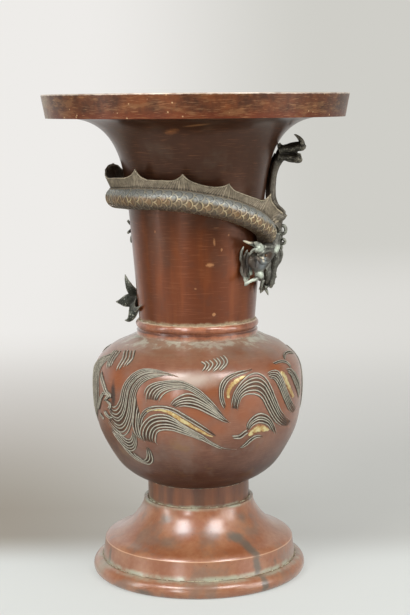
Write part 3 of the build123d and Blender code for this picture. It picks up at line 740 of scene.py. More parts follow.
def neck_finish(patina):
    finish = Finish("neck_patina")
    rise = (finish.height - neck_bottom) / neck_height
    clouds = finish.grain(45 * mm)
    up = finish.ease(rise + (clouds - 0.5) * 0.5, 0.15, 0.72)
    finish.color = finish.blend(up, patina.neck_red, patina.neck_dark)
    finish.tint(finish.blotches(0.48, 0.72, 12 * mm, 5) * 0.4, 82, 50, 34)
    streaks = finish.blotches(0.46, 0.70, 12 * mm, 4, 0.5, (1, 1, 0.12))
    finish.tint(streaks * 0.45 * (1 - up), 134, 70, 30)
    finish.tint(finish.blotches(0.48, 0.66, 30 * mm) * up * 0.5, 84, 66, 54)
    brushed = finish.blotches(0.48, 0.60, 3.5 * mm, 3, 0.5, (0.35, 0.35, 3))
    worn = finish.spot(-13.5, 417 * mm, 9, 3.4, ragged=0.9, tilt=0.2, sharp=0.1)
    finish.tint(worn * (0.45 + brushed * 0.55) * 0.8, 164, 104, 62)
    # Marks: turn, height and half sizes in millimetres, tilt and strength
    marks = (
        (1, 422.5, 15, 1, 0.1, 0.45), (12, 297.5, 5, 2.2, 0, 0.7), (15.5, 318, 1.3, 4.2, 0.1, 0.5),
        (22.3, 311, 1.3, 2, 0, 0.5), (16.4, 252, 2.2, 2.2, 0, 0.8), (-1, 276, 1.4, 0.9, 0, 0.5),
        (28.6, 324, 1.2, 1.2, 0, 0.4), (17, 331, 3.5, 0.6, 0, 0.3), (-37, 327, 1, 1.6, 0, 0.4),
        (140, 300, 4, 2, 0, 0.6), (-120, 275, 1.5, 4, 0, 0.5), (160, 400, 9, 1.2, 0.1, 0.5),
    )
    for turn, height, width, tall, tilt, strength in marks:
        mark = finish.spot(turn, height * mm, width, tall, 0.9, tilt, sharp=0.4)
        finish.tint(mark * strength, 184, 132, 88)
    finish.tint(finish.scratches(16 * mm) * 0.3, 160, 104, 70)
    seam = finish.ease(rise + finish.wander(0.03, 6 * mm), 0.018, 0.0)
    finish.tint(seam * 0.7, 176, 160, 128)
    inside = finish.ease(finish.height, neck_top + 2 * mm, neck_top + 3 * mm)
    finish.tint(inside, 84, 60, 46)
    rough = 0.25 + finish.grain(12 * mm, 5) * 0.14 + seam * 0.3
    bumps = [(finish.grain(2.2 * mm), 0.03), (clouds, 0.25)]
    return finish.done(rough, bumps, metal=0.4, wax=0.45 - up * 0.33, wax_rough=0.14, sheen=0.2)


def rim_finish():
    finish = Finish("rim_patina")
    share = finish.grain(24 * mm, 6, 0.62) * 0.75 + finish.grain(4 * mm) * 0.25
    brown, red = linear(68, 40, 26), linear(114, 64, 35)
    finish.color = finish.blend(finish.ease(share, 0.36, 0.66), brown, red)
    low = finish.ease(finish.height, neck_top + 8 * mm, neck_top + 2 * mm)
    finish.tint(low * 0.6, 104, 46, 24)
    # Darker towards the sides as seen from the front: painted shade.
    sides = finish.ease(finish.math("ABSOLUTE", finish.turn), 22, 64)
    finish.tint(sides * 0.35, 50, 30, 18)
    rubbed = finish.blotches(0.54, 0.64, 26 * mm, 6, 0.6, (1, 1, 4))
    finish.tint(rubbed * 0.45, 132, 94, 60)
    finish.tint(finish.scratches(9 * mm, 30) * 0.45, 186, 142, 98)
    nicks = finish.blotches(0.66, 0.74, 5 * mm, 3, 0.5, (0.5, 0.5, 5))
    finish.tint(nicks * 0.35, 56, 34, 24)
    left = finish.ease(finish.turn + finish.wander(14, 10 * mm), -62, -76)
    left = left * finish.ease(finish.turn + finish.wander(40, 16 * mm), -118, -86)
    left = left * (0.3 + finish.blotches(0.40, 0.60, 9 * mm, 5, 0.6) * 0.7)
    finish.tint(left * 0.55, 146, 136, 108)
    # Pale band along the top edge: a painted highlight, broken up by noise.
    uneven = finish.height + finish.wander(1.5 * mm, 4 * mm)
    edge = finish.ease(uneven, rim_top - 1.6 * mm, rim_top - 0.7 * mm)
    edge = edge * (0.45 + finish.blotches(0.34, 0.56, 10 * mm) * 0.55)
    finish.tint(edge * 0.75, 212, 198, 182)
    chips = finish.dots(6 * mm, 0.16, 0.07) * finish.blotches(0.5, 0.56, 24 * mm)
    finish.tint(chips * 0.7, 214, 182, 136)
    rough = 0.32 + finish.grain(7 * mm, 5) * 0.2 - edge * 0.1
    return finish.done(rough, [(finish.grain(1.6 * mm), 0.05)], metal=0.3, wax=0.25, sheen=0.2)


def collar_finish():
    finish = Finish("collar_patina")
    finish.mottle(linear(118, 68, 46), linear(164, 104, 74), 14 * mm)
    wander = finish.wander(2.2 * mm, 5 * mm)
    # Dark band in the groove under the bead: painted shade.
    groove = finish.band(finish.height + wander, belly_top + 5 * mm, 2 * mm)
    finish.tint(groove * 0.7, 66, 36, 26)
    top = finish.ease(finish.height + wander, neck_bottom - 1.3 * mm, neck_bottom - 0.4 * mm)
    finish.tint(top * 0.6, 190, 176, 148)
    foot = finish.ease(finish.height + wander * 2, belly_top + 3 * mm, belly_top)
    finish.tint(foot * 0.5, 150, 140, 120)
    rough = 0.26 + finish.grain(6 * mm) * 0.14 + top * 0.35
    return finish.done(rough, [(finish.grain(1.5 * mm), 0.05)], metal=0.1, wax=1.0, sheen=0.3)


def belly_finish(patina):
    finish = Finish("belly_patina")
    rise = (finish.height - stem_top) / belly_height
    clouds = finish.grain(40 * mm)
    finish.mottle(patina.belly_rose, linear(130, 85, 61), 30 * mm)
    # Recesses beside the waves: turn, share of height, half sizes in millimetres, tilt and strength
    recesses = (
        (-49, 0.765, 17, 17, 0, 1), (-32, 0.66, 7, 20, 0, 0.9), (-14, 0.705, 18, 9, -0.1, 0.9),
        (0, 0.585, 22, 10, -0.4, 1), (30, 0.65, 17, 16, 0, 0.9), (25, 0.57, 14, 13, 0, 0.8),
        (8, 0.735, 12, 13, 0, 0.6), (15.5, 0.63, 6, 17, 0, 0.9), (50, 0.83, 17, 8, 0, 0.9),
        (51, 0.60, 10, 17, 0.4, 0.7), (11, 0.48, 13, 10, -0.3, 0.6), (-18, 0.46, 14, 6, 0, 0.35),
    )
    warm = 0
    for turn, share, width, tall, tilt, strength in recesses:
        for centre in (turn, turn + 180 if turn <= 0 else turn - 180):
            patch = finish.spot(centre, belly_level(share), width, tall, 0.5, tilt, sharp=0.15)
            warm = finish.most(warm, patch * strength)
    finish.coat(warm * 0.95, patina.belly_orange)
    # Near-black patches beside the foam, front and back: painted shadow.
    for centre in (-51, 129):
        hollow = finish.spot(centre, belly_level(0.66), 5, 17, ragged=0.5, sharp=0.3)
        finish.tint(hollow * 0.9, 34, 23, 18)
    shade = finish.ease(rise + (clouds - 0.5) * 0.3, 0.52, 0.04)
    finish.tint(shade * 0.95, 58, 30, 19)
    # Darker patch low on the left: painted shade, which also takes coat off there.
    low_left_shade = finish.spot(-68, belly_level(0.32), 46, 36, ragged=0.3)
    finish.tint(low_left_shade * 0.5, 52, 31, 22)
    # Pale patch on the shoulder: a painted highlight.
    highlight_patch = finish.spot(-2, belly_level(0.80), 34, 11, ragged=0.5)
    finish.tint(highlight_patch * 0.65, 194, 182, 168)
    # Pale veil at the top of the belly: partly a grey patina veil, partly painted sheen on the shoulder.
    veil_and_sheen = finish.ease(rise + finish.wander(0.16, 18 * mm, 5), 0.84, 0.99)
    patchy = finish.blotches(0.44, 0.58, 13 * mm, 5, 0.6, (1, 1, 1.6))
    finish.tint(veil_and_sheen * (0.3 + patchy * 0.2), 134, 117, 96)
    crust = finish.ease(rise + finish.wander(0.09, 9 * mm), 0.945, 0.99) * (0.2 + patchy * 0.8)
    finish.tint(crust * 0.7, 176, 178, 160)
    grey = finish.blotches(0.52, 0.66, 34 * mm, 5)
    finish.tint(grey * 0.3, 112, 98, 88)
    ochre = finish.blotches(0.56, 0.70, 22 * mm, 5) * finish.band(rise, 0.3, 0.28)
    finish.tint(ochre * 0.5, 128, 92, 46)
    finish.tint(finish.scratches(12 * mm) * 0.15, 190, 140, 110)
    rough = 0.30 + finish.grain(14 * mm, 5) * 0.18 + veil_and_sheen * 0.12
    bumps = [(finish.grain(2 * mm), 0.05), (clouds, 0.3)]
    wax = 0.95 - finish.most(shade * 0.85, low_left_shade * 0.9)
    return finish.done(rough, bumps, metal=0.08, wax=wax, wax_rough=0.24, sheen=0.3)


def foot_finish(patina):
    finish = Finish("foot_patina")
    clouds = finish.grain(28 * mm, 5)
    finish.mottle(patina.foot_orange, linear(152, 105, 74), 24 * mm)
    finish.tint(finish.ease(clouds, 0.50, 0.64) * 0.5, 108, 94, 82)
    # Pale grey halos round the two lamp highlights on the cove: painted highlight.
    for turn in (-14, 13):
        highlight_patch = finish.spot(turn, 52 * mm, 13, 9, ragged=0.5)
        finish.tint(highlight_patch * 0.4, 150, 150, 152)
    # The stem is painted darker, with streaks: painted shade under the belly.
    stem_shade = finish.ease(finish.height, foot_top - 0.5 * mm, foot_top + 1.5 * mm)
    streaks = finish.blotches(0.32, 0.72, 9 * mm, 4, 0.5, (1, 1, 0.15))
    finish.coat(stem_shade * 0.8, finish.blend(streaks, linear(72, 42, 26), linear(122, 70, 38)))
    uneven = finish.height + finish.wander(3 * mm, 7 * mm)
    patchy = finish.blotches(0.40, 0.60, 16 * mm)
    upper, lower = finish.band(uneven, foot_top, 3.2 * mm), finish.band(uneven, ring_top - 4 * mm, 4 * mm)
    seams = finish.most(upper, lower)
    finish.coat(seams * (0.25 + patchy * 0.6), patina.verdigris)
    # Pale line along the band's edge: a painted highlight.
    edge = finish.band(finish.height, foot_edge, 0.8 * mm)
    finish.tint(edge * 0.6, 208, 164, 130)
    # Stains: turn, height and half sizes in millimetres, tilt, and how sharp they are
    stains = (
        (31, 45, 13, 6, -0.2, 0.3), (35, 38, 7, 12, 0.3, 0.3), (36, 23, 6, 15, 0.05, 0.3),
        (37, 8, 6, 11, 0, 0.3), (-24, 43, 17, 6.5, 0, 0), (-30, 3, 13, 5, 0, 0.2),
        (-67, 22, 5, 11, 0, 0.2), (51, 22, 3.5, 6, 0, 0), (46, 58, 8, 7, 0.4, 0),
        (-33, 60, 10, 5.5, 0, 0), (150, 40, 12, 8, 0, 0), (-140, 30, 6, 16, 0, 0.2),
    )
    run = 0
    for turn, height, width, tall, tilt, sharp in stains:
        stain = finish.spot(turn, height * mm, width, tall, 0.8, tilt, sharp)
        run = finish.most(run, stain * (0.7 + sharp))
    finish.tint(run * 0.75, 76, 79, 70)
    crust = finish.spot(-68, 12 * mm, 20, 11, ragged=1.2)
    finish.tint(crust * 0.6, 134, 134, 116)
    pits = finish.dots(5 * mm, 0.12, 0.05) * finish.blotches(0.46, 0.56, 16 * mm)
    finish.tint(pits * 0.7, 60, 42, 34)
    rough = 0.27 + finish.grain(9 * mm, 5) * 0.18 + seams * 0.25 + run * 0.2
    bumps = [(finish.grain(1.8 * mm), 0.06)]
    return finish.done(rough, bumps, metal=0.06, wax=1 - stem_shade * 0.6, wax_rough=0.22, sheen=0.45)


def plain_finish():
    finish = Finish("bare_bronze")
    finish.mottle(linear(128, 92, 58), linear(168, 126, 84), 8 * mm)
    rough = 0.45 + finish.grain(3 * mm) * 0.2
    return finish.done(rough, [(finish.grain(1.2 * mm, 3), 0.04)], metal=0.8)


# Finishes of the cast and chased work


def scale_finish():
    finish = Finish("dragon_scales")
    around = finish.note("around") + finish.wander(0.12, 14 * mm)
    upper = finish.ease(around, 0.50, 0.38)
    lower = finish.ease(around, 0.60, 0.76)
    finish.mottle(linear(90, 75, 54), linear(118, 102, 80), 10 * mm)
    gold = finish.blotches(0.46, 0.62, 20 * mm)
    finish.tint(gold * 0.5, 132, 92, 46)
    # Underside painted darker (painted shade); top painted pale blue-grey (painted sheen of the light from
    # above).
    finish.tint(lower * 0.8, 66, 54, 44)
    finish.tint(upper * 0.9, 130, 134, 130)
    inner = finish.band(finish.crown, 0.5, 0.3)
    lattice = finish.ease(finish.turn, -32, -50) * (1 - upper * 0.7)
    finish.tint(inner * lattice * 0.6, 60, 48, 34)
    # Pale rims with glints: painted highlight.
    rim = finish.ease(finish.crown, 0.66, 0.95)
    glint = 0.25 + finish.blotches(0.44, 0.60, 7 * mm) * 0.6
    finish.tint(rim * glint * (1 - upper * 0.5) * (1 - lower * 0.7), 184, 168, 130)
    # Dark in the grooves, under the free edges and on the bare skin between scales: painted shade.
    pit_shade = finish.ease(finish.crown, 0.32, 0.08)
    finish.tint(pit_shade * 0.85, 44, 38, 30)
    rough = 0.28 + finish.grain(3 * mm) * 0.22
    return finish.done(rough, [(finish.grain(0.9 * mm, 3), 0.04)], metal=0.35, wax=0.4, wax_rough=0.3)


def cast_finish(name, dark, light, crest, size=6 * mm, patches=(), dim=None, rub_and_highlight=0.6):
    """Grey cast work: painted shade in its hollows, rubbed metal and painted highlight on its crowns, and
    dim above a height.

    Patches are rows of a turn, a share of the neck's height, half sizes in millimetres, a tilt,
    a strength and a colour.
    """
    finish = Finish(name)
    finish.mottle(linear(*dark), linear(*light), size)
    if dim:
        finish.tint(finish.ease(finish.height, dim, dim + 8 * mm) * 0.9, 38, 35, 26)
    # Lighter on the crowns: rubbed metal and painted highlight.
    rubbed = finish.ease(finish.crown + finish.wander(0.6, 2.5 * mm), 0.35, 0.95)
    finish.tint(rubbed * rub_and_highlight, *crest)
    for turn, share, width, tall, tilt, strength, color in patches:
        patch = finish.spot(turn, neck_level(share), width, tall, 0.6, tilt, sharp=0.4)
        finish.tint(patch * strength, *color)
    # Darker in the hollows: painted shade.
    hollow = finish.ease(finish.crown, 0.0, -0.7)
    finish.tint(hollow * 0.7, 36, 31, 25)
    rough = 0.40 + finish.grain(3 * mm) * 0.2
    return finish.done(rough, [(finish.grain(0.8 * mm, 3), 0.05)], metal=0.5)


def eye_finish():
    finish = Finish("dark_amber")
    finish.mottle(linear(60, 42, 24), linear(118, 84, 42), 2 * mm)
    rough = 0.2 + finish.grain(2 * mm) * 0.1
    return finish.done(rough, [(finish.grain(1 * mm), 0.02)], metal=0.2, wax=0.6)


def gilt_finish(patina):
    finish = Finish("gilding")
    bare = finish.grain(3.5 * mm, 5, 0.6) + (1 - finish.crown) * 0.45
    worn = finish.ease(bare, 0.56, 0.80)
    finish.color = finish.blend(finish.blotches(0.4, 0.6, 6 * mm, 3), patina.gilt, linear(180, 146, 90))
    finish.tint(worn, 124, 76, 42)
    # Fine pale specks: painted glints.
    finish.tint(finish.blotches(0.56, 0.7, 1.2 * mm, 3) * 0.3, 236, 226, 184)
    bumps = [(finish.grain(0.8 * mm, 3), 0.05)]
    return finish.done(0.34 + worn * 0.2, bumps, metal=0.45 - worn * 0.3)


def seam_finish(patina):
    finish = Finish("seam_verdigris")
    finish.mottle(patina.verdigris, linear(206, 196, 166), 5 * mm)
    finish.tint(finish.blotches(0.42, 0.56, 4 * mm, 5) * 0.85, 108, 76, 50)
    return finish.done(0.75, [(finish.grain(0.9 * mm), 0.2)], metal=0.1)


# Pieces


def scale_plate():
    """One scale: across from -1 to 1, along from its root at 0 to its free edge at 1, and its lift."""
    # What each ring is inset and raised by: a rim, the groove inside it, and a raised middle
    rings = ((0.17, 0.0), (0.12, -0.45), (0.2, 0.25))
    rim_from, groove_from = 0.8, 0.66
    bm = bmesh.new()
    bmesh.ops.create_circle(bm, cap_ends=True, segments=14, radius=1)
    made = bmesh.ops.extrude_face_region(bm, geom=list(bm.faces))
    top = [item for item in made["geom"] if isinstance(item, bmesh.types.BMFace)]
    for vert in (item for item in made["geom"] if isinstance(item, bmesh.types.BMVert)):
        vert.co.z = 1
    for thickness, raised in rings:
        bmesh.ops.inset_region(bm, faces=top, thickness=thickness, depth=0)
        for vert in {vert for face in top for vert in face.verts}:
            vert.co.z += raised
    layer = bm.verts.layers.float.new("crown")
    bm.verts.layers.float.new("around")
    for vert in bm.verts:
        reach = hypot(vert.co.x, vert.co.y)
        along = (vert.co.y + 1) / 2
        # The side wall and the groove keep a crown of zero, which the finish paints dark as shade.
        lift = -0.5
        if vert.co.z > 0.1:
            lift = along * vert.co.z
            vert[layer] = 1.0 if reach > rim_from else 0.0 if reach > groove_from else 0.5
        vert.co = (vert.co.x * (1 - 0.25 * (1 - along) ** 2), along, lift)
    # The operators give the faces in another order from run to run
    slant = Vector((1, 0.61, 0.37))
    bm.faces.sort(key=lambda face: face.calc_center_median().dot(slant))
    return bm


def dragon_body(context):
    """The coiled body under its overlapping scales."""
    relief = context.scene.vase_relief
    coil = Coil()
    casting = Casting("dragon_scaled_body")
    rings, sides = 320, 48
    # Angles round the body: a column's from the crest, and half of each strip that stays bare
    first_column, bare_by_crest, bare_by_neck = 78, 28, 24
    # A scale's length and half its breadth, as shares of the distances between scales
    reach, breadth = 1.12, 0.60

    def place(u, v):
        length = coil.length * min(max((u * (rings + 2) - 1) / rings, 0), 1)
        centre = coil.at(length)[0]
        if u in (0, 1):
            return centre, 0.4, v * 2
        # The bare skin notes a low crown except on the top, which the finish paints dark as shade between
        # the scales.
        upper = fade(cos(radians(360 * v)), 0.55, 0.85)
        return coil.surface(length, 360 * v, -0.25 * mm * (1 - upper)), 0.1 + 0.4 * upper, v * 2

    casting.add(sheet(rings + 2, sides, place, ("crown", "around")))
    plate = scale_plate()
    pattern = bpy.data.meshes.new("scale_pattern")
    plate.to_mesh(pattern)
    plate.free()
    column_turn = 360 / relief.scale_columns
    row = 0
    start = relief.scale_pitch
    while start < coil.length - 4 * mm:
        thick = coil.at(start)[4]
        pitch = relief.scale_pitch * thick
        for column in range(relief.scale_columns):
            angle = (first_column + column_turn * (column + 0.5 * (row % 2) - 0.5)) % 360
            if abs(angle - 270) < bare_by_neck or min(angle, 360 - angle) < bare_by_crest:
                continue
            scale = bmesh.new()
            scale.from_mesh(pattern)
            around = scale.verts.layers.float["around"]
            for vert in scale.verts:
                across, along, lift = vert.co
                length = start + pitch * (0.42 - along * reach)
                turned = angle + across * column_turn * breadth
                raised = 0.55 + 0.45 * fade(turned, 40, 80)
                height = lift * relief.scale_lift * thick * raised
                vert.co = coil.surface(min(max(length, 0), coil.length), turned, height)
                vert[around] = turned / 180
            casting.add(scale)
        start += pitch / 2
        row += 1
    bpy.data.meshes.remove(pattern)
    return casting


def dragon_crest(context):
    """The fin along the back: ribs that fan from its peaks, a bead on its edge and cords at its foot."""
    relief = context.scene.vase_relief
    coil = Coil()
    casting = Casting("dragon_ribbed_crest")
    first = coil.stations[0][0]
    span = coil.length - first
    columns = 1400
    # How deep below its edge the ribs meet, and the widths of a peak's groove and of the swelling by it
    fan_depth, groove_width, strut_width = 22 * mm, 0.7 * mm, 3.4 * mm
    cord_angle, cord_radius, cord_turns, cord_sides = 11, 0.55, 300, 8
    # One flank of the fin: how far it stands to the side, and its share of the height
    flank = [(1, 0.0), *((1, 0.02 + 0.86 * k / 9) for k in range(10))]
    flank += [(1.5, 0.91), (1.7, 0.95), (1.2, 0.99)]
    profile = [(-side, level) for side, level in flank] + [(0, 1.0)] + flank[::-1]

    def station(u):
        """Length at a share of the columns, and whether that is past the fin's two ends."""
        step = u * (columns + 2) - 1
        return first + span * min(max(step / columns, 0), 1), step < 0 or step > columns

    def place(u, v):
        length, ended = station(u)
        centre, _, out, up, thick = coil.at(length)
        height, lean = coil.crest(length)
        away = up * cos(lean) + out * sin(lean)
        across = out * cos(lean) - up * sin(lean)
        side, level = profile[round(v * len(profile)) % len(profile)]
        foot = centre + away * (thick * dragon_radius + 0.05 * mm)
        if ended:
            return foot + away * height * 0.5, 0.0
        nearest = min(coil.peaks, key=lambda peak: abs(peak - length))
        apex = max(fan_depth * thick, 1.45 * coil.crest(nearest)[0])
        spread = (length - nearest) * apex / (apex - level * height)
        rib = cos(tau * spread / (relief.rib_pitch * thick))
        groove = 1 - exp(-((length - nearest) / (groove_width * thick)) ** 2)
        strut = exp(-((length - nearest) / (strut_width * thick * (1.15 - level))) ** 2) * groove
        if abs(side) > 1:
            bead = (0.56 + 0.14 * noise.noise(foot / (2.2 * mm))) * thick * mm
            offset = side * bead * 0.72
            crown = 0.75 + 0.5 * noise.noise(foot / (3 * mm))
        else:
            half = (1.05 - 0.45 * level) * thick * mm
            offset = side * (half + (0.28 * rib + 0.6 * strut) * thick * mm)
            # The crown is lowered at the fin's foot and under its bead, where the finish paints shade, and
            # raised on the bead, which it paints pale.
            crown = 0.1 + 0.5 * rib + 0.4 * strut - 0.8 * (level < 0.12) - 0.5 * (level > 0.85)
        wave = 0.35 * mm * noise.noise(Vector((length / (3.5 * mm), 0, 5)))
        return foot + away * (height + wave) * level + across * offset, crown

    def cord(angle):
        """Twisted cord at the fin's foot."""

        def place(u, v):
            length, ended = station(u)
            centre, way, _, _, thick = coil.at(length)
            radius = thick * cord_radius * mm
            middle = coil.surface(length, angle + degrees(coil.crest(length)[1]), 0.2 * mm)
            if ended:
                return middle, 0.0
            bulge = 1 + 0.25 * cos(tau * (v * 2 + cord_turns * length / coil.length))
            away = (middle - centre).normalized()
            side = way.cross(away)
            return middle + (away * cos(tau * v) + side * sin(tau * v)) * radius * bulge, bulge - 0.85

        return sheet(columns + 2, cord_sides, place)

    casting.add(sheet(columns + 2, len(profile), place))
    casting.add(cord(cord_angle))
    casting.add(cord(-cord_angle))
    return casting


class Wave:
    """A bundle of strands on the belly, between two edges.

    Its rows hold a turn and a share of the belly's height on the outer edge, then on the inner one.
    """

    steps = 9

    def __init__(self, rows, strands, spindrift=False, stout=1.0):
        self.rows = smoothed(rows, self.steps)
        self.strands = strands
        self.spindrift = spindrift
        self.stout = stout

    def line(self, share, shift):
        """Rows of (turn, share of height) between the two edges, turned round the vase."""
        return [(a + (c - a) * share + shift, b + (d - b) * share) for a, b, c, d in self.rows]


front_waves = (
    # the great swell, from the trough at the left up to its crest and its long tip
    Wave([(-61, 0.487, -54.5, 0.595), (-54, 0.429, -52, 0.58), (-47, 0.395, -49, 0.586),
          (-41.5, 0.424, -47, 0.605), (-38, 0.488, -45.5, 0.628), (-36, 0.558, -44.5, 0.655),
          (-34, 0.687, -42.5, 0.734), (-31.5, 0.75, -39.5, 0.787), (-27, 0.794, -35.5, 0.83),
          (-21, 0.815, -29, 0.854), (-13.5, 0.822, -17, 0.843), (-4, 0.796, -4, 0.799)], 9),
    # the second swell, under it
    Wave([(-29, 0.639, -20.5, 0.648), (-28.5, 0.704, -19.5, 0.679), (-26.5, 0.75, -17.5, 0.71),
          (-22, 0.778, -14.5, 0.732), (-16, 0.792, -10.5, 0.745), (-10, 0.795, -6.5, 0.747),
          (-4.5, 0.776, -3, 0.734), (2, 0.731, 2, 0.692), (9, 0.641, 9, 0.62), (14, 0.563, 13.5, 0.553),
          (18, 0.514, 18, 0.512)], 7),
    # broad strands inside the second swell
    Wave([(-14.5, 0.633, -12, 0.614), (-12, 0.674, -8.5, 0.636), (-8, 0.705, -5, 0.637),
          (-4, 0.716, 0, 0.623), (1, 0.692, 5, 0.592), (7, 0.637, 9.5, 0.561), (13.5, 0.558, 13.5, 0.533),
          (18, 0.512, 18, 0.509)], 5),
    # the third swell, over its gilt band
    Wave([(-33.5, 0.45, -32, 0.45), (-32, 0.513, -31, 0.505), (-30.5, 0.566, -29.5, 0.548),
          (-27.5, 0.605, -26.5, 0.585), (-22.5, 0.626, -22, 0.61), (-17, 0.63, -17.5, 0.614),
          (-12, 0.616, -12.5, 0.598), (-6, 0.576, -7, 0.56), (2, 0.512, 1.5, 0.494),
          (7.5, 0.464, 7, 0.449), (11.5, 0.423, 11.5, 0.42)], 3),
    # the lowest swell, which runs out into a single line
    Wave([(-32, 0.36, -21.5, 0.361), (-32.5, 0.418, -23.5, 0.382), (-31.5, 0.472, -23, 0.426),
          (-28, 0.529, -21.5, 0.459), (-24, 0.563, -18, 0.475), (-18.5, 0.576, -13, 0.474),
          (-13.5, 0.561, -8.5, 0.458), (-7.5, 0.513, -2, 0.432), (2, 0.444, 3, 0.402),
          (8, 0.39, 9, 0.365), (15, 0.345, 15, 0.336), (24, 0.327, 24, 0.322)], 6),
    # two nests of lines under the trough, and the lines that come down to them
    Wave([(-59.5, 0.443, -49.5, 0.426), (-53, 0.375, -47, 0.402), (-48.5, 0.317, -44.5, 0.38),
          (-44, 0.293, -42, 0.375), (-39, 0.315, -39.5, 0.39), (-36, 0.369, -38, 0.42),
          (-35.5, 0.429, -38, 0.451)], 5),
    Wave([(-50.5, 0.33, -42.5, 0.297), (-46.5, 0.276, -40.5, 0.266), (-42, 0.234, -37.5, 0.244),
          (-36.5, 0.214, -35.5, 0.236), (-32, 0.213, -33, 0.251), (-28.5, 0.246, -31, 0.283),
          (-28, 0.304, -30.5, 0.317), (-29, 0.347, -30.5, 0.351)], 3),
    Wave([(-33.5, 0.677, -31.5, 0.595), (-34.5, 0.611, -32.5, 0.543), (-35.5, 0.548, -33, 0.496),
          (-36.5, 0.49, -33, 0.46), (-36, 0.439, -32.5, 0.418), (-34, 0.394, -31, 0.378)], 3),
    # the arch at the right
    Wave([(18, 0.58, 22, 0.576), (18, 0.645, 22, 0.632), (19.5, 0.713, 23, 0.671),
          (23.5, 0.773, 25.5, 0.693), (28.5, 0.81, 29, 0.696), (34, 0.818, 33, 0.684),
          (38.5, 0.789, 36.5, 0.649), (42, 0.725, 39.5, 0.589), (45.5, 0.639, 44.5, 0.507),
          (50.5, 0.547, 49.5, 0.46), (59, 0.476, 55.5, 0.426), (70, 0.434, 62.5, 0.41)], 6),
    # the curl outside the arch
    Wave([(15, 0.597, 15.5, 0.618), (12.5, 0.649, 14, 0.663), (11.5, 0.714, 13.5, 0.717),
          (12.5, 0.776, 15, 0.765), (16, 0.815, 17.5, 0.797), (21.5, 0.834, 22, 0.818),
          (28, 0.843, 27.5, 0.83), (34.5, 0.852, 34, 0.841)], 3),
    # the swells at the right edge
    Wave([(40, 0.802, 41.5, 0.775), (44.5, 0.818, 44.5, 0.771), (49.5, 0.807, 47, 0.742),
          (52.5, 0.747, 50.5, 0.67), (55.5, 0.67, 54, 0.602), (61, 0.587, 59, 0.534),
          (71.5, 0.499, 66, 0.486)], 5),
    Wave([(57, 0.808, 58.5, 0.786), (63.5, 0.796, 61, 0.766), (68.5, 0.75, 64, 0.714),
          (73.5, 0.677, 68.5, 0.647), (77, 0.59, 73, 0.58)], 5),
    # the small arch over its gilt field, with the lines at its two ends
    Wave([(27, 0.453, 28.5, 0.446), (27.5, 0.504, 29.5, 0.475), (31, 0.545, 32.5, 0.496),
          (35.5, 0.556, 36, 0.496), (41, 0.525, 40.5, 0.473), (45.5, 0.463, 44, 0.43),
          (50, 0.385, 47.5, 0.39)], 4),
    Wave([(18.5, 0.428, 19, 0.415), (22.5, 0.427, 23.5, 0.409), (25.5, 0.449, 26.5, 0.432),
          (28, 0.462, 28.5, 0.443)], 2),
    Wave([(24, 0.333, 24, 0.327), (27, 0.363, 28, 0.352), (30, 0.396, 31, 0.381),
          (34, 0.411, 34.5, 0.397), (39, 0.397, 39.5, 0.385)], 2),
    # the foam at the left edge: its ragged front, its fingers, and the falling water behind it
    Wave([(-66, 0.796, -68, 0.79), (-62.5, 0.753, -64.5, 0.745), (-59, 0.709, -61, 0.70),
          (-56.5, 0.673, -58, 0.664), (-53.5, 0.659, -55, 0.65), (-53, 0.639, -54.3, 0.64),
          (-55, 0.625, -55.6, 0.632)], 2, stout=1.5),
    Wave([(-65, 0.618, -64, 0.61), (-60.5, 0.659, -60.2, 0.648), (-56.5, 0.662, -57.2, 0.651),
          (-55, 0.643, -56.4, 0.642), (-58, 0.611, -59, 0.615), (-60, 0.594, -61.5, 0.597)],
          2, spindrift=True, stout=1.6),
    Wave([(-58, 0.608, -58, 0.599), (-54.5, 0.605, -55.2, 0.596), (-53, 0.588, -54.4, 0.587),
          (-54, 0.566, -55.2, 0.571), (-57, 0.548, -58, 0.556)], 2, spindrift=True, stout=1.6),
    Wave([(-59.5, 0.543, -61, 0.54), (-58, 0.52, -59.2, 0.512), (-55, 0.506, -55.5, 0.496),
          (-51.5, 0.509, -51.5, 0.502)], 2, spindrift=True, stout=1.6),
    Wave([(-70.5, 0.512, -72, 0.517), (-66.5, 0.563, -68, 0.568), (-63.5, 0.612, -65, 0.616),
          (-60, 0.645, -61, 0.655)], 2, spindrift=True, stout=1.5),
    Wave([(-68.5, 0.5, -68.5, 0.49), (-65, 0.49, -65.5, 0.48), (-62.5, 0.47, -63.5, 0.462)],
          2, spindrift=True, stout=1.5),
    Wave([(-63, 0.905, -64, 0.91), (-66.5, 0.85, -71, 0.885), (-68.5, 0.79, -79, 0.84),
          (-68.5, 0.73, -86, 0.775), (-68, 0.668, -90.5, 0.69), (-68.5, 0.60, -91.5, 0.61),
          (-72, 0.53, -90, 0.53), (-77, 0.465, -88, 0.46), (-85, 0.40, -86.5, 0.397)], 10),
    # fine lines above the right edge, and short hatches of spindrift
    Wave([(49, 0.859, 48.5, 0.851), (57, 0.862, 56.5, 0.853), (62.5, 0.845, 61.5, 0.836),
          (65, 0.80, 63.5, 0.797)], 2),
    Wave([(61.5, 0.862, 62, 0.856), (67, 0.886, 67.5, 0.878), (76, 0.887, 75.5, 0.878),
          (88, 0.86, 86, 0.853)], 2),
    Wave([(-69, 0.915, -61, 0.928), (-66, 0.878, -59, 0.883), (-59.5, 0.808, -57, 0.83)],
          4, spindrift=True, stout=1.2),
    Wave([(-57.5, 0.934, -48, 0.941), (-51.5, 0.889, -43.5, 0.9), (-50.5, 0.812, -44.5, 0.848)],
          4, spindrift=True, stout=1.2),
    Wave([(2.5, 0.903, 17, 0.935), (5, 0.883, 18.5, 0.895), (2.5, 0.847, 12, 0.843)],
          7, spindrift=True, stout=1.1),
)
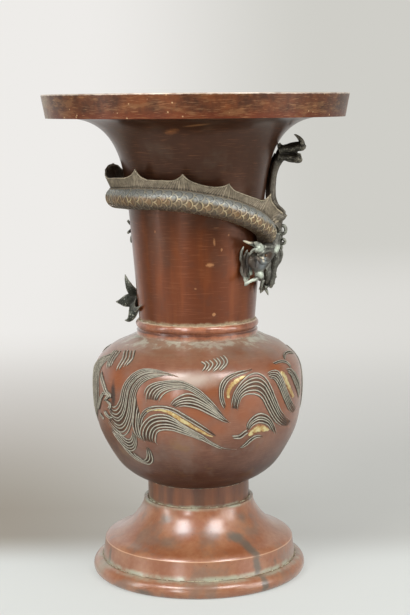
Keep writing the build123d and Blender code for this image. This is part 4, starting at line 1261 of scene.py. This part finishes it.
# Gilt between the strands, in the same rows
gilt_fields = (
    [(-29, 0.586, -28.5, 0.576), (-24.5, 0.61, -23.5, 0.591), (-19.5, 0.618, -19.5, 0.594),
     (-15, 0.61, -15.5, 0.579), (-11, 0.587, -11.5, 0.549), (-6, 0.55, -7, 0.513), (1, 0.492, 0.5, 0.465),
     (6.5, 0.447, 5, 0.437), (9.5, 0.426, 9, 0.424)],
    [(15.5, 0.677, 17, 0.676), (14.8, 0.707, 17.5, 0.71), (16, 0.755, 19, 0.745),
     (18.8, 0.79, 22.5, 0.773), (23, 0.81, 25.5, 0.795), (27.5, 0.815, 27.5, 0.811)],
    [(27.5, 0.426, 28.5, 0.408), (30, 0.464, 31.5, 0.415), (32.5, 0.485, 34, 0.424),
     (36, 0.487, 37.5, 0.424), (40, 0.464, 40, 0.422), (43, 0.434, 42.5, 0.428)],
    [(52.5, 0.812, 50.5, 0.785), (56, 0.79, 52.5, 0.757), (58.5, 0.725, 55, 0.702),
     (62.5, 0.655, 59, 0.637), (65.5, 0.608, 63, 0.597)],
)


def strand(turned, rows, wide, rise, sunk):
    """A tapering ridge on the belly along rows of (turn, share), with one half-width for each row."""
    sides, thinnest, narrowest = 8, 0.08, 0.03 * mm
    heights = [belly_level(share) for turn, share in rows]
    points = [turned.point(row[0], height) for row, height in zip(rows, heights)]
    last = len(rows) - 1
    rings = []
    for index, (point, way) in enumerate(zip(points, headings(points))):
        normal = turned.normal(rows[index][0], heights[index])
        side = way.cross(normal).normalized()
        share = index / last
        taper = max(fade(share, 0, 0.10) * fade(share, 1, 0.82), thinnest)
        full = fade(wide[index], 0.02 * mm, 0.2 * mm)
        height = (rise * full + sunk) * (0.4 + 0.6 * taper)
        half = side * max(wide[index], narrowest) * taper
        rings.append((point - normal * sunk, half, normal * height))
    return tube(rings, sides)


def strand_width(number, gap):
    """Half-width of a strand at a spacing: where strands crowd, every second one dies out."""
    filled, widest = 0.34, 0.95 * mm
    spacing = gap
    for group, limit in ((2, 1.5 * mm), (4, 0.75 * mm), (8, 0.38 * mm)):
        present = fade(gap, 0.8 * limit, 1.1 * limit)
        if number % group:
            return min(filled * spacing * present, widest)
        spacing *= 2 - present
    return min(filled * spacing, widest)


def bed(turned, rows, shift, lift):
    """Thin domed sheet on the belly between the two edges of its rows, closed below the surface."""
    last = len(rows) - 1
    sides = 24
    edge_depth, floor_depth = 0.3 * mm, 0.6 * mm

    def place(u, v):
        outer_turn, outer_level, inner_turn, inner_level = rows[round(u * last)]
        over = v <= 0.5
        share = v * 2 if over else 2 - v * 2
        turn = outer_turn + (inner_turn - outer_turn) * share + shift
        level = outer_level + (inner_level - outer_level) * share
        ends = min(fade(u, 0, 0.08), fade(u, 1, 0.92))
        full = 4 * share * (1 - share)
        if not over:
            return turned.point(turn, belly_level(level), -floor_depth), 0.0
        height = -edge_depth + (lift + edge_depth) * (min(1.0, full * 2) * ends)
        return turned.point(turn, belly_level(level), height), full * ends

    return sheet(last, sides, place)


def waves(context):
    """Chased waves round the belly, in two like groups, front and back."""
    relief = context.scene.vase_relief
    turned = Turned("belly")
    random.seed(11)
    # Shares by which a strand may wander to the side, begin late and end early
    loose_by, late_by, short_by = 0.16, 0.07, 0.10
    root_depth, bed_lift, gilt_lift = 0.35 * mm, 0.12 * mm, 0.5 * mm
    gilt_steps = 8
    strands = Casting("chased_waves")
    beds = Casting("wave_beds")
    gilded = Casting("gilt_bands")
    for shift in (0, 180):
        for wave in front_waves:
            spaces = wave.strands - 1
            gaps = [
                (turned.point(a, belly_level(b)) - turned.point(c, belly_level(d))).length / spaces
                for a, b, c, d in wave.rows
            ]
            for number in range(wave.strands):
                loose = loose_by * (0 < number < spaces) * (2 * random.random() - 1)
                rows = wave.line((number + loose) / spaces, shift)
                wide = [strand_width(number, gap) * wave.stout for gap in gaps]
                cut = round(len(rows) * late_by * random.random())
                end = len(rows) - round(len(rows) * short_by * random.random())
                rise = relief.strand_rise * (0.8 + 0.4 * random.random()) * wave.stout**0.5
                strands.add(strand(turned, rows[cut:end], wide[cut:end], rise, root_depth))
            if not wave.spindrift:
                beds.add(bed(turned, wave.rows, shift, bed_lift))
        for rows in gilt_fields:
            gilded.add(bed(turned, smoothed(rows, gilt_steps), shift, gilt_lift))
    return strands, beds, gilded


def seam_beads():
    """Verdigris and solder in the seams between the turned sections."""
    casting = Casting("seam_beads")
    # Height, radius and thickness of each
    seams = (
        (neck_bottom + 0.3 * mm, neck_radius(neck_bottom) + 0.3 * mm, 0.42 * mm),
        (belly_top + 0.1 * mm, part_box("neck_collar")[1].x - 0.9 * mm, 0.3 * mm),
        (foot_top + 0.2 * mm, stem_radius + 0.7 * mm, 0.85 * mm),
        (foot_bottom + 0.3 * mm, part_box("foot")[1].x + 0.2 * mm, 0.7 * mm),
        (stem_top - 0.3 * mm, stem_radius + 0.2 * mm, 0.3 * mm),
    )
    columns, sides = 360, 8
    for number, (height, radius, thick) in enumerate(seams):

        def place(u, v):
            turn = 360 * u
            spot = outward(turn)
            uneven = noise.noise(Vector((spot.x * 9, spot.y * 9, number * 7)))
            fine = noise.noise(Vector((spot.x * 28, spot.y * 28, number * 7)))
            size = thick * max(0.42 + 0.5 * uneven + 0.25 * fine, 0.12)
            middle = spot * radius
            middle.z = height
            return middle + (spot * cos(tau * v) + Vector((0, 0, 1)) * sin(tau * v)) * size, 0.5

        casting.add(sheet(columns, sides, place))
    return casting


# Operators


class VASE_OT_sections(bpy.types.Operator):
    """Give the turned sections their patina"""

    bl_idname = "vase.sections"
    bl_label = "Turned sections"

    def execute(self, context):
        patina = context.scene.vase_patina
        foot = foot_finish(patina)
        plain = plain_finish()
        finishes = {
            "rim_band": rim_finish(),
            "neck_trumpet": neck_finish(patina),
            "neck_collar": collar_finish(),
            "belly": belly_finish(patina),
            "stem_ring": foot,
            "foot": foot,
            "foot_ring": foot,
            "bottom_plate": plain,
            "fixing_studs": plain,
            "stud_washers": plain,
        }
        for node, material in finishes.items():
            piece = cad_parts[node]
            piece.data.materials.clear()
            piece.data.materials.append(material)
        return {"FINISHED"}


class VASE_OT_body(bpy.types.Operator):
    """Model the dragon's scaled body"""

    bl_idname = "vase.body"
    bl_label = "Scaled body"

    def execute(self, context):
        material = scale_finish()
        dragon_body(context).pour(material, "dragon_bronze", ["dragon_body"], smooth=False)
        return {"FINISHED"}


class VASE_OT_crest(bpy.types.Operator):
    """Model the dragon's ribbed crest"""

    bl_idname = "vase.crest"
    bl_label = "Ribbed crest"

    def execute(self, context):
        # The second patch lightens the crest's inner face at the left, which lies in shade: painted light.
        patches = (
            (50, 0.628, 5, 6, 0, 0.7, (132, 142, 108)),
            (-97, 0.70, 9, 14, 0, 0.45, (150, 134, 110)),
        )
        material = cast_finish(
            "crest_patina", (97, 87, 72), (140, 128, 108), (176, 163, 137), size=4 * mm,
            patches=patches, rub_and_highlight=0.8,
        )
        dragon_crest(context).pour(material, "crest_bronze", ["dragon_crest"])
        return {"FINISHED"}


class VASE_OT_head(bpy.types.Operator):
    """Model the dragon's head and mane"""

    bl_idname = "vase.head"
    bl_label = "Head"

    def execute(self, context):
        pale, cream, steel = (196, 204, 188), (208, 198, 172), (118, 124, 126)
        brown, green = (64, 46, 32), (150, 160, 132)
        patches = (
            (49, 0.300, 8, 8, 0, 0.8, steel), (56, 0.337, 6, 5, 0, 0.9, brown),
            (44, 0.290, 7, 17, 0, 0.7, brown), (49.5, 0.321, 2.2, 3.4, -0.3, 0.9, cream),
            (47, 0.380, 9, 5, 0, 0.85, pale), (38, 0.410, 7, 2.6, 0, 0.7, cream),
            (65, 0.362, 6, 5, 0, 0.8, pale), (50.6, 0.246, 5, 4.5, 0, 0.85, pale),
            (43, 0.217, 8, 3.2, 0.2, 0.8, pale), (62, 0.225, 5, 14, 0, 0.75, brown),
            (62, 0.175, 4, 5, 0, 0.6, green),
        )
        material = cast_finish(
            "head_patina", (72, 70, 62), (106, 104, 96), (160, 162, 148), patches=patches
        )
        casting = Casting("dragon_head_cast")
        for rows in (*head_shapes, *mane_shapes):
            casting.add(limb(rows))
        casting.melt(0.42 * mm, cobbles(size=1.6 * mm, depth=0.05 * mm, rough=0.28 * mm))
        nodes = ["head", "jaw", "horns", "whiskers", "beard", "mane"]
        casting.pour(material, "head_bronze", [f"dragon_{node}" for node in nodes])
        return {"FINISHED"}


class VASE_OT_eyes(bpy.types.Operator):
    """Model the dragon's inlaid eyes"""

    bl_idname = "vase.eyes"
    bl_label = "Eyes"

    def execute(self, context):
        casting = Casting("inlaid_eyes")
        for turn, share, stand in eye_places:
            eye = bmesh.new()
            bmesh.ops.create_icosphere(eye, subdivisions=3, radius=1.5 * mm)
            bmesh.ops.translate(eye, verts=eye.verts, vec=on_neck(turn, share, stand * mm))
            casting.add(eye)
        casting.pour(eye_finish(), "gilt", ["dragon_eyes"])
        return {"FINISHED"}


class VASE_OT_limbs(bpy.types.Operator):
    """Model the dragon's legs and the end of its tail"""

    bl_idname = "vase.limbs"
    bl_label = "Legs and tail"

    def execute(self, context):
        paw = neck_level(0.75)
        # The dark patch on the raised leg is painted shade on its inner side by the neck.
        light = cast_finish(
            "limb_patina", (79, 73, 63), (110, 102, 89), (134, 128, 112), dim=paw,
            patches=((92, 0.70, 7, 34, 0, 0.85, (30, 27, 22)),),
        )
        dark = cast_finish("dark_limb_patina", (32, 34, 27), (56, 57, 48), (146, 146, 132), rub_and_highlight=0.8)
        extras = {"foreleg_raised": foreleg_shapes, "hindleg_left": hindleg_shapes}
        for name in ("foreleg_raised", "foreleg_lower", "hindleg_left", "hindleg_right", "tail_tuft"):
            material = light if name.startswith("fore") else dark
            casting = Casting(f"dragon_{name}_cast")
            if name != "hindleg_left":
                casting.add(packed(f"dragon_{name}"))
            for rows in extras.get(name, ()):
                casting.add(limb(rows))
            casting.melt(0.5 * mm, cobbles(size=2.4 * mm, depth=0.09 * mm, rough=0.22 * mm))
            casting.pour(material, "limb_bronze", [f"dragon_{name}"])
        return {"FINISHED"}


class VASE_OT_waves(bpy.types.Operator):
    """Model the chased waves on the belly"""

    bl_idname = "vase.waves"
    bl_label = "Chased waves"

    def execute(self, context):
        patina = context.scene.vase_patina
        strands, beds, gilded = waves(context)
        grey = cast_finish("strand_patina", (70, 64, 57), (112, 104, 92), (190, 184, 166), rub_and_highlight=0.85)
        # The beds are dark under the strands: partly the wave bands' patina, partly painted shade between
        # the strands.
        dark = cast_finish("bed_patina", (50, 42, 38), (116, 74, 48), (84, 62, 48))
        strands.pour(grey, "belly_bronze")
        beds.pour(dark, "belly_bronze")
        gilded.pour(gilt_finish(patina), "gilt")
        return {"FINISHED"}


class VASE_OT_seams(bpy.types.Operator):
    """Model the verdigris in the seams"""

    bl_idname = "vase.seams"
    bl_label = "Seams"

    def execute(self, context):
        seam_beads().pour(seam_finish(context.scene.vase_patina), "collar_bronze")
        return {"FINISHED"}


def paper_finish(studio):
    """Paper that is part lit and part of an even tone, with the soft shade behind the table."""
    finish = Finish("paper")
    # The backdrop is painted lighter at the left than at the right, as the light falls.
    across = finish.ease(finish.x, -0.45, 0.45) * (1 - finish.ease(finish.y, 3.4, 1.8) * 0.42)
    far = finish.blend(across, studio.paper_left, studio.paper_right)
    finish.color = finish.blend(finish.ease(finish.y, 0.0, 0.6), studio.table, far)
    shade = finish.blend(finish.ease(finish.x, -0.28, 0.16), studio.shade_left, studio.shade_right)
    fall = finish.math("MULTIPLY", (1.5 - finish.y) / 1.3, 1, clamp=True) ** 1.5
    finish.coat(finish.ease(finish.y, 0.0, 0.11) * fall, shade)
    # Darker floor in front of the table: painted fall-off of the light.
    finish.coat(finish.ease(finish.y, -0.72, -1.3), studio.floor_front_shade)
    paper = finish.shader
    finish.feed(paper.inputs["Base Color"], finish.color)
    paper.inputs["Roughness"].default_value = 0.9
    paper.inputs["Specular IOR Level"].default_value = 0.1
    lit = Term(finish, paper.outputs[0])
    glow = finish.node("ShaderNodeEmission", {}, {"Color": finish.color, "Strength": 1.0})
    even = 0.6 + finish.ease(finish.math("ABSOLUTE", finish.y), 0.5, 1.3) * 0.4
    mix = finish.node("ShaderNodeMixShader", {}, {0: finish.seen() * even, 1: lit, 2: glow})
    finish.feed(finish.tree.nodes["Material Output"].inputs["Surface"], mix)
    return finish.material


def paper_sweep(studio):
    """Table and wall in one sheet, which curves up where they meet."""
    reach, front, back, height, curve = 14.0, -14.0, 3.8, 3.6, 0.7
    flat = back - curve - front
    arc = curve * pi / 2
    bm = bmesh.new()
    bmesh.ops.create_grid(bm, x_segments=2, y_segments=240, size=1)
    for vert in bm.verts:
        run = (vert.co.y + 1) / 2 * (flat + arc + height - curve)
        angle = min(max((run - flat) / curve, 0), pi / 2)
        beyond = max(run - flat - arc, 0)
        vert.co = (
            vert.co.x * reach,
            min(run, flat) + front + curve * sin(angle),
            curve - curve * cos(angle) + beyond,
        )
    mesh = bpy.data.meshes.new("paper_sweep")
    bm.to_mesh(mesh)
    bm.free()
    mesh.polygons.foreach_set("use_smooth", [True] * len(mesh.polygons))
    mesh.materials.append(paper_finish(studio))
    return mesh


def room_world():
    """Dim room light, seen as a plain grey."""
    dim, seen = (0.07, 0.07, 0.07), (0.22, 0.22, 0.22)
    world = bpy.data.worlds.new("studio")
    world.use_nodes = True
    room = Nodes(world.node_tree)
    room.feed(room.tree.nodes["Background"].inputs["Color"], room.blend(room.seen(), dim, seen))
    return world


def area_lamp(name, place, aim, size, power):
    """Soft box at a place, turned to a point."""
    data = bpy.data.lights.new(name, "AREA")
    data.shape = "RECTANGLE"
    data.size, data.size_y = size
    data.energy = power
    lamp = bpy.data.objects.new(name, data)
    lamp.location = place
    lamp.rotation_mode = "QUATERNION"
    lamp.rotation_quaternion = (Vector(aim) - Vector(place)).to_track_quat("-Z", "Y")
    bpy.context.scene.collection.objects.link(lamp)


class VASE_OT_stage(bpy.types.Operator):
    """Set the backdrop, the lamps and the camera"""

    bl_idname = "vase.stage"
    bl_label = "Studio"

    def execute(self, context):
        studio = context.scene.vase_studio
        scene = context.scene
        scene.view_settings.view_transform = "Standard"
        sweep = bpy.data.objects.new("paper_sweep", paper_sweep(studio))
        scene.collection.objects.link(sweep)

        # Place, width and height, and watts of each lamp
        lamps = {
            "side_strip": ((-1.48, -0.6, 0.62), (0.26, 1.4), 9),
            "front_strip": ((-0.72, -1.75, 0.3), (0.2, 1.2), 12),
            "over_left": ((-0.75, -1.05, 1.5), (0.66, 0.66), 19),
            "over_right": ((0.85, -1.0, 1.5), (0.66, 0.66), 17),
            "wall_right": ((1.6, -0.9, 0.6), (0.9, 1.3), 11),
            "right_strip": ((1.5, -0.5, 0.62), (0.3, 1.2), 4.5),
            "top": ((0, 0.35, 1.9), (1.4, 1.0), 12),
        }
        for name, (place, size, power) in lamps.items():
            area_lamp(name, place, (0, 0, 0.24), size, power)
        scene.world = room_world()

        data = bpy.data.cameras.new("camera")
        data.lens = studio.lens
        data.sensor_fit = "AUTO"
        data.sensor_width = 36
        data.clip_start = 0.05
        data.clip_end = 60
        camera = bpy.data.objects.new("camera", data)
        camera.location = (studio.offset, -studio.distance, studio.eye_height)
        look = Matrix.Rotation(pi / 2 - studio.pitch, 3, "X") @ Matrix.Rotation(-studio.roll, 3, "Z")
        camera.rotation_mode = "QUATERNION"
        camera.rotation_quaternion = look.to_quaternion()
        scene.collection.objects.link(camera)
        scene.camera = camera
        return {"FINISHED"}


class VASE_PT_panel(bpy.types.Panel):
    """Steps that dress the vase, in order"""

    bl_idname = "VASE_PT_panel"
    bl_label = "Cast Vase"
    bl_space_type = "VIEW_3D"
    bl_region_type = "UI"
    bl_category = "Vase"

    def draw(self, context):
        for operator in steps:
            self.layout.operator(operator.bl_idname)
        for group in ("vase_patina", "vase_relief", "vase_studio"):
            settings = getattr(context.scene, group)
            for name in settings.bl_rna.properties.keys():
                if name not in ("rna_type", "name"):
                    self.layout.prop(settings, name)


steps = (
    VASE_OT_stage, VASE_OT_sections, VASE_OT_body, VASE_OT_crest, VASE_OT_head, VASE_OT_eyes,
    VASE_OT_limbs, VASE_OT_waves, VASE_OT_seams,
)
groups = {"vase_patina": VASE_PG_patina, "vase_relief": VASE_PG_relief, "vase_studio": VASE_PG_studio}


def register():
    for made in (*groups.values(), *steps, VASE_PT_panel):
        bpy.utils.register_class(made)
    for name, group in groups.items():
        setattr(bpy.types.Scene, name, PointerProperty(type=group))


def unregister():
    for name in groups:
        delattr(bpy.types.Scene, name)
    for made in (VASE_PT_panel, *reversed(steps), *groups.values()):
        bpy.utils.unregister_class(made)


def main():
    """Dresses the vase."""
    register()
    bpy.ops.vase.stage()
    bpy.ops.vase.sections()
    bpy.ops.vase.body()
    bpy.ops.vase.crest()
    bpy.ops.vase.head()
    bpy.ops.vase.eyes()
    bpy.ops.vase.limbs()
    bpy.ops.vase.waves()
    bpy.ops.vase.seams()


if __name__ == "__main__":
    main()
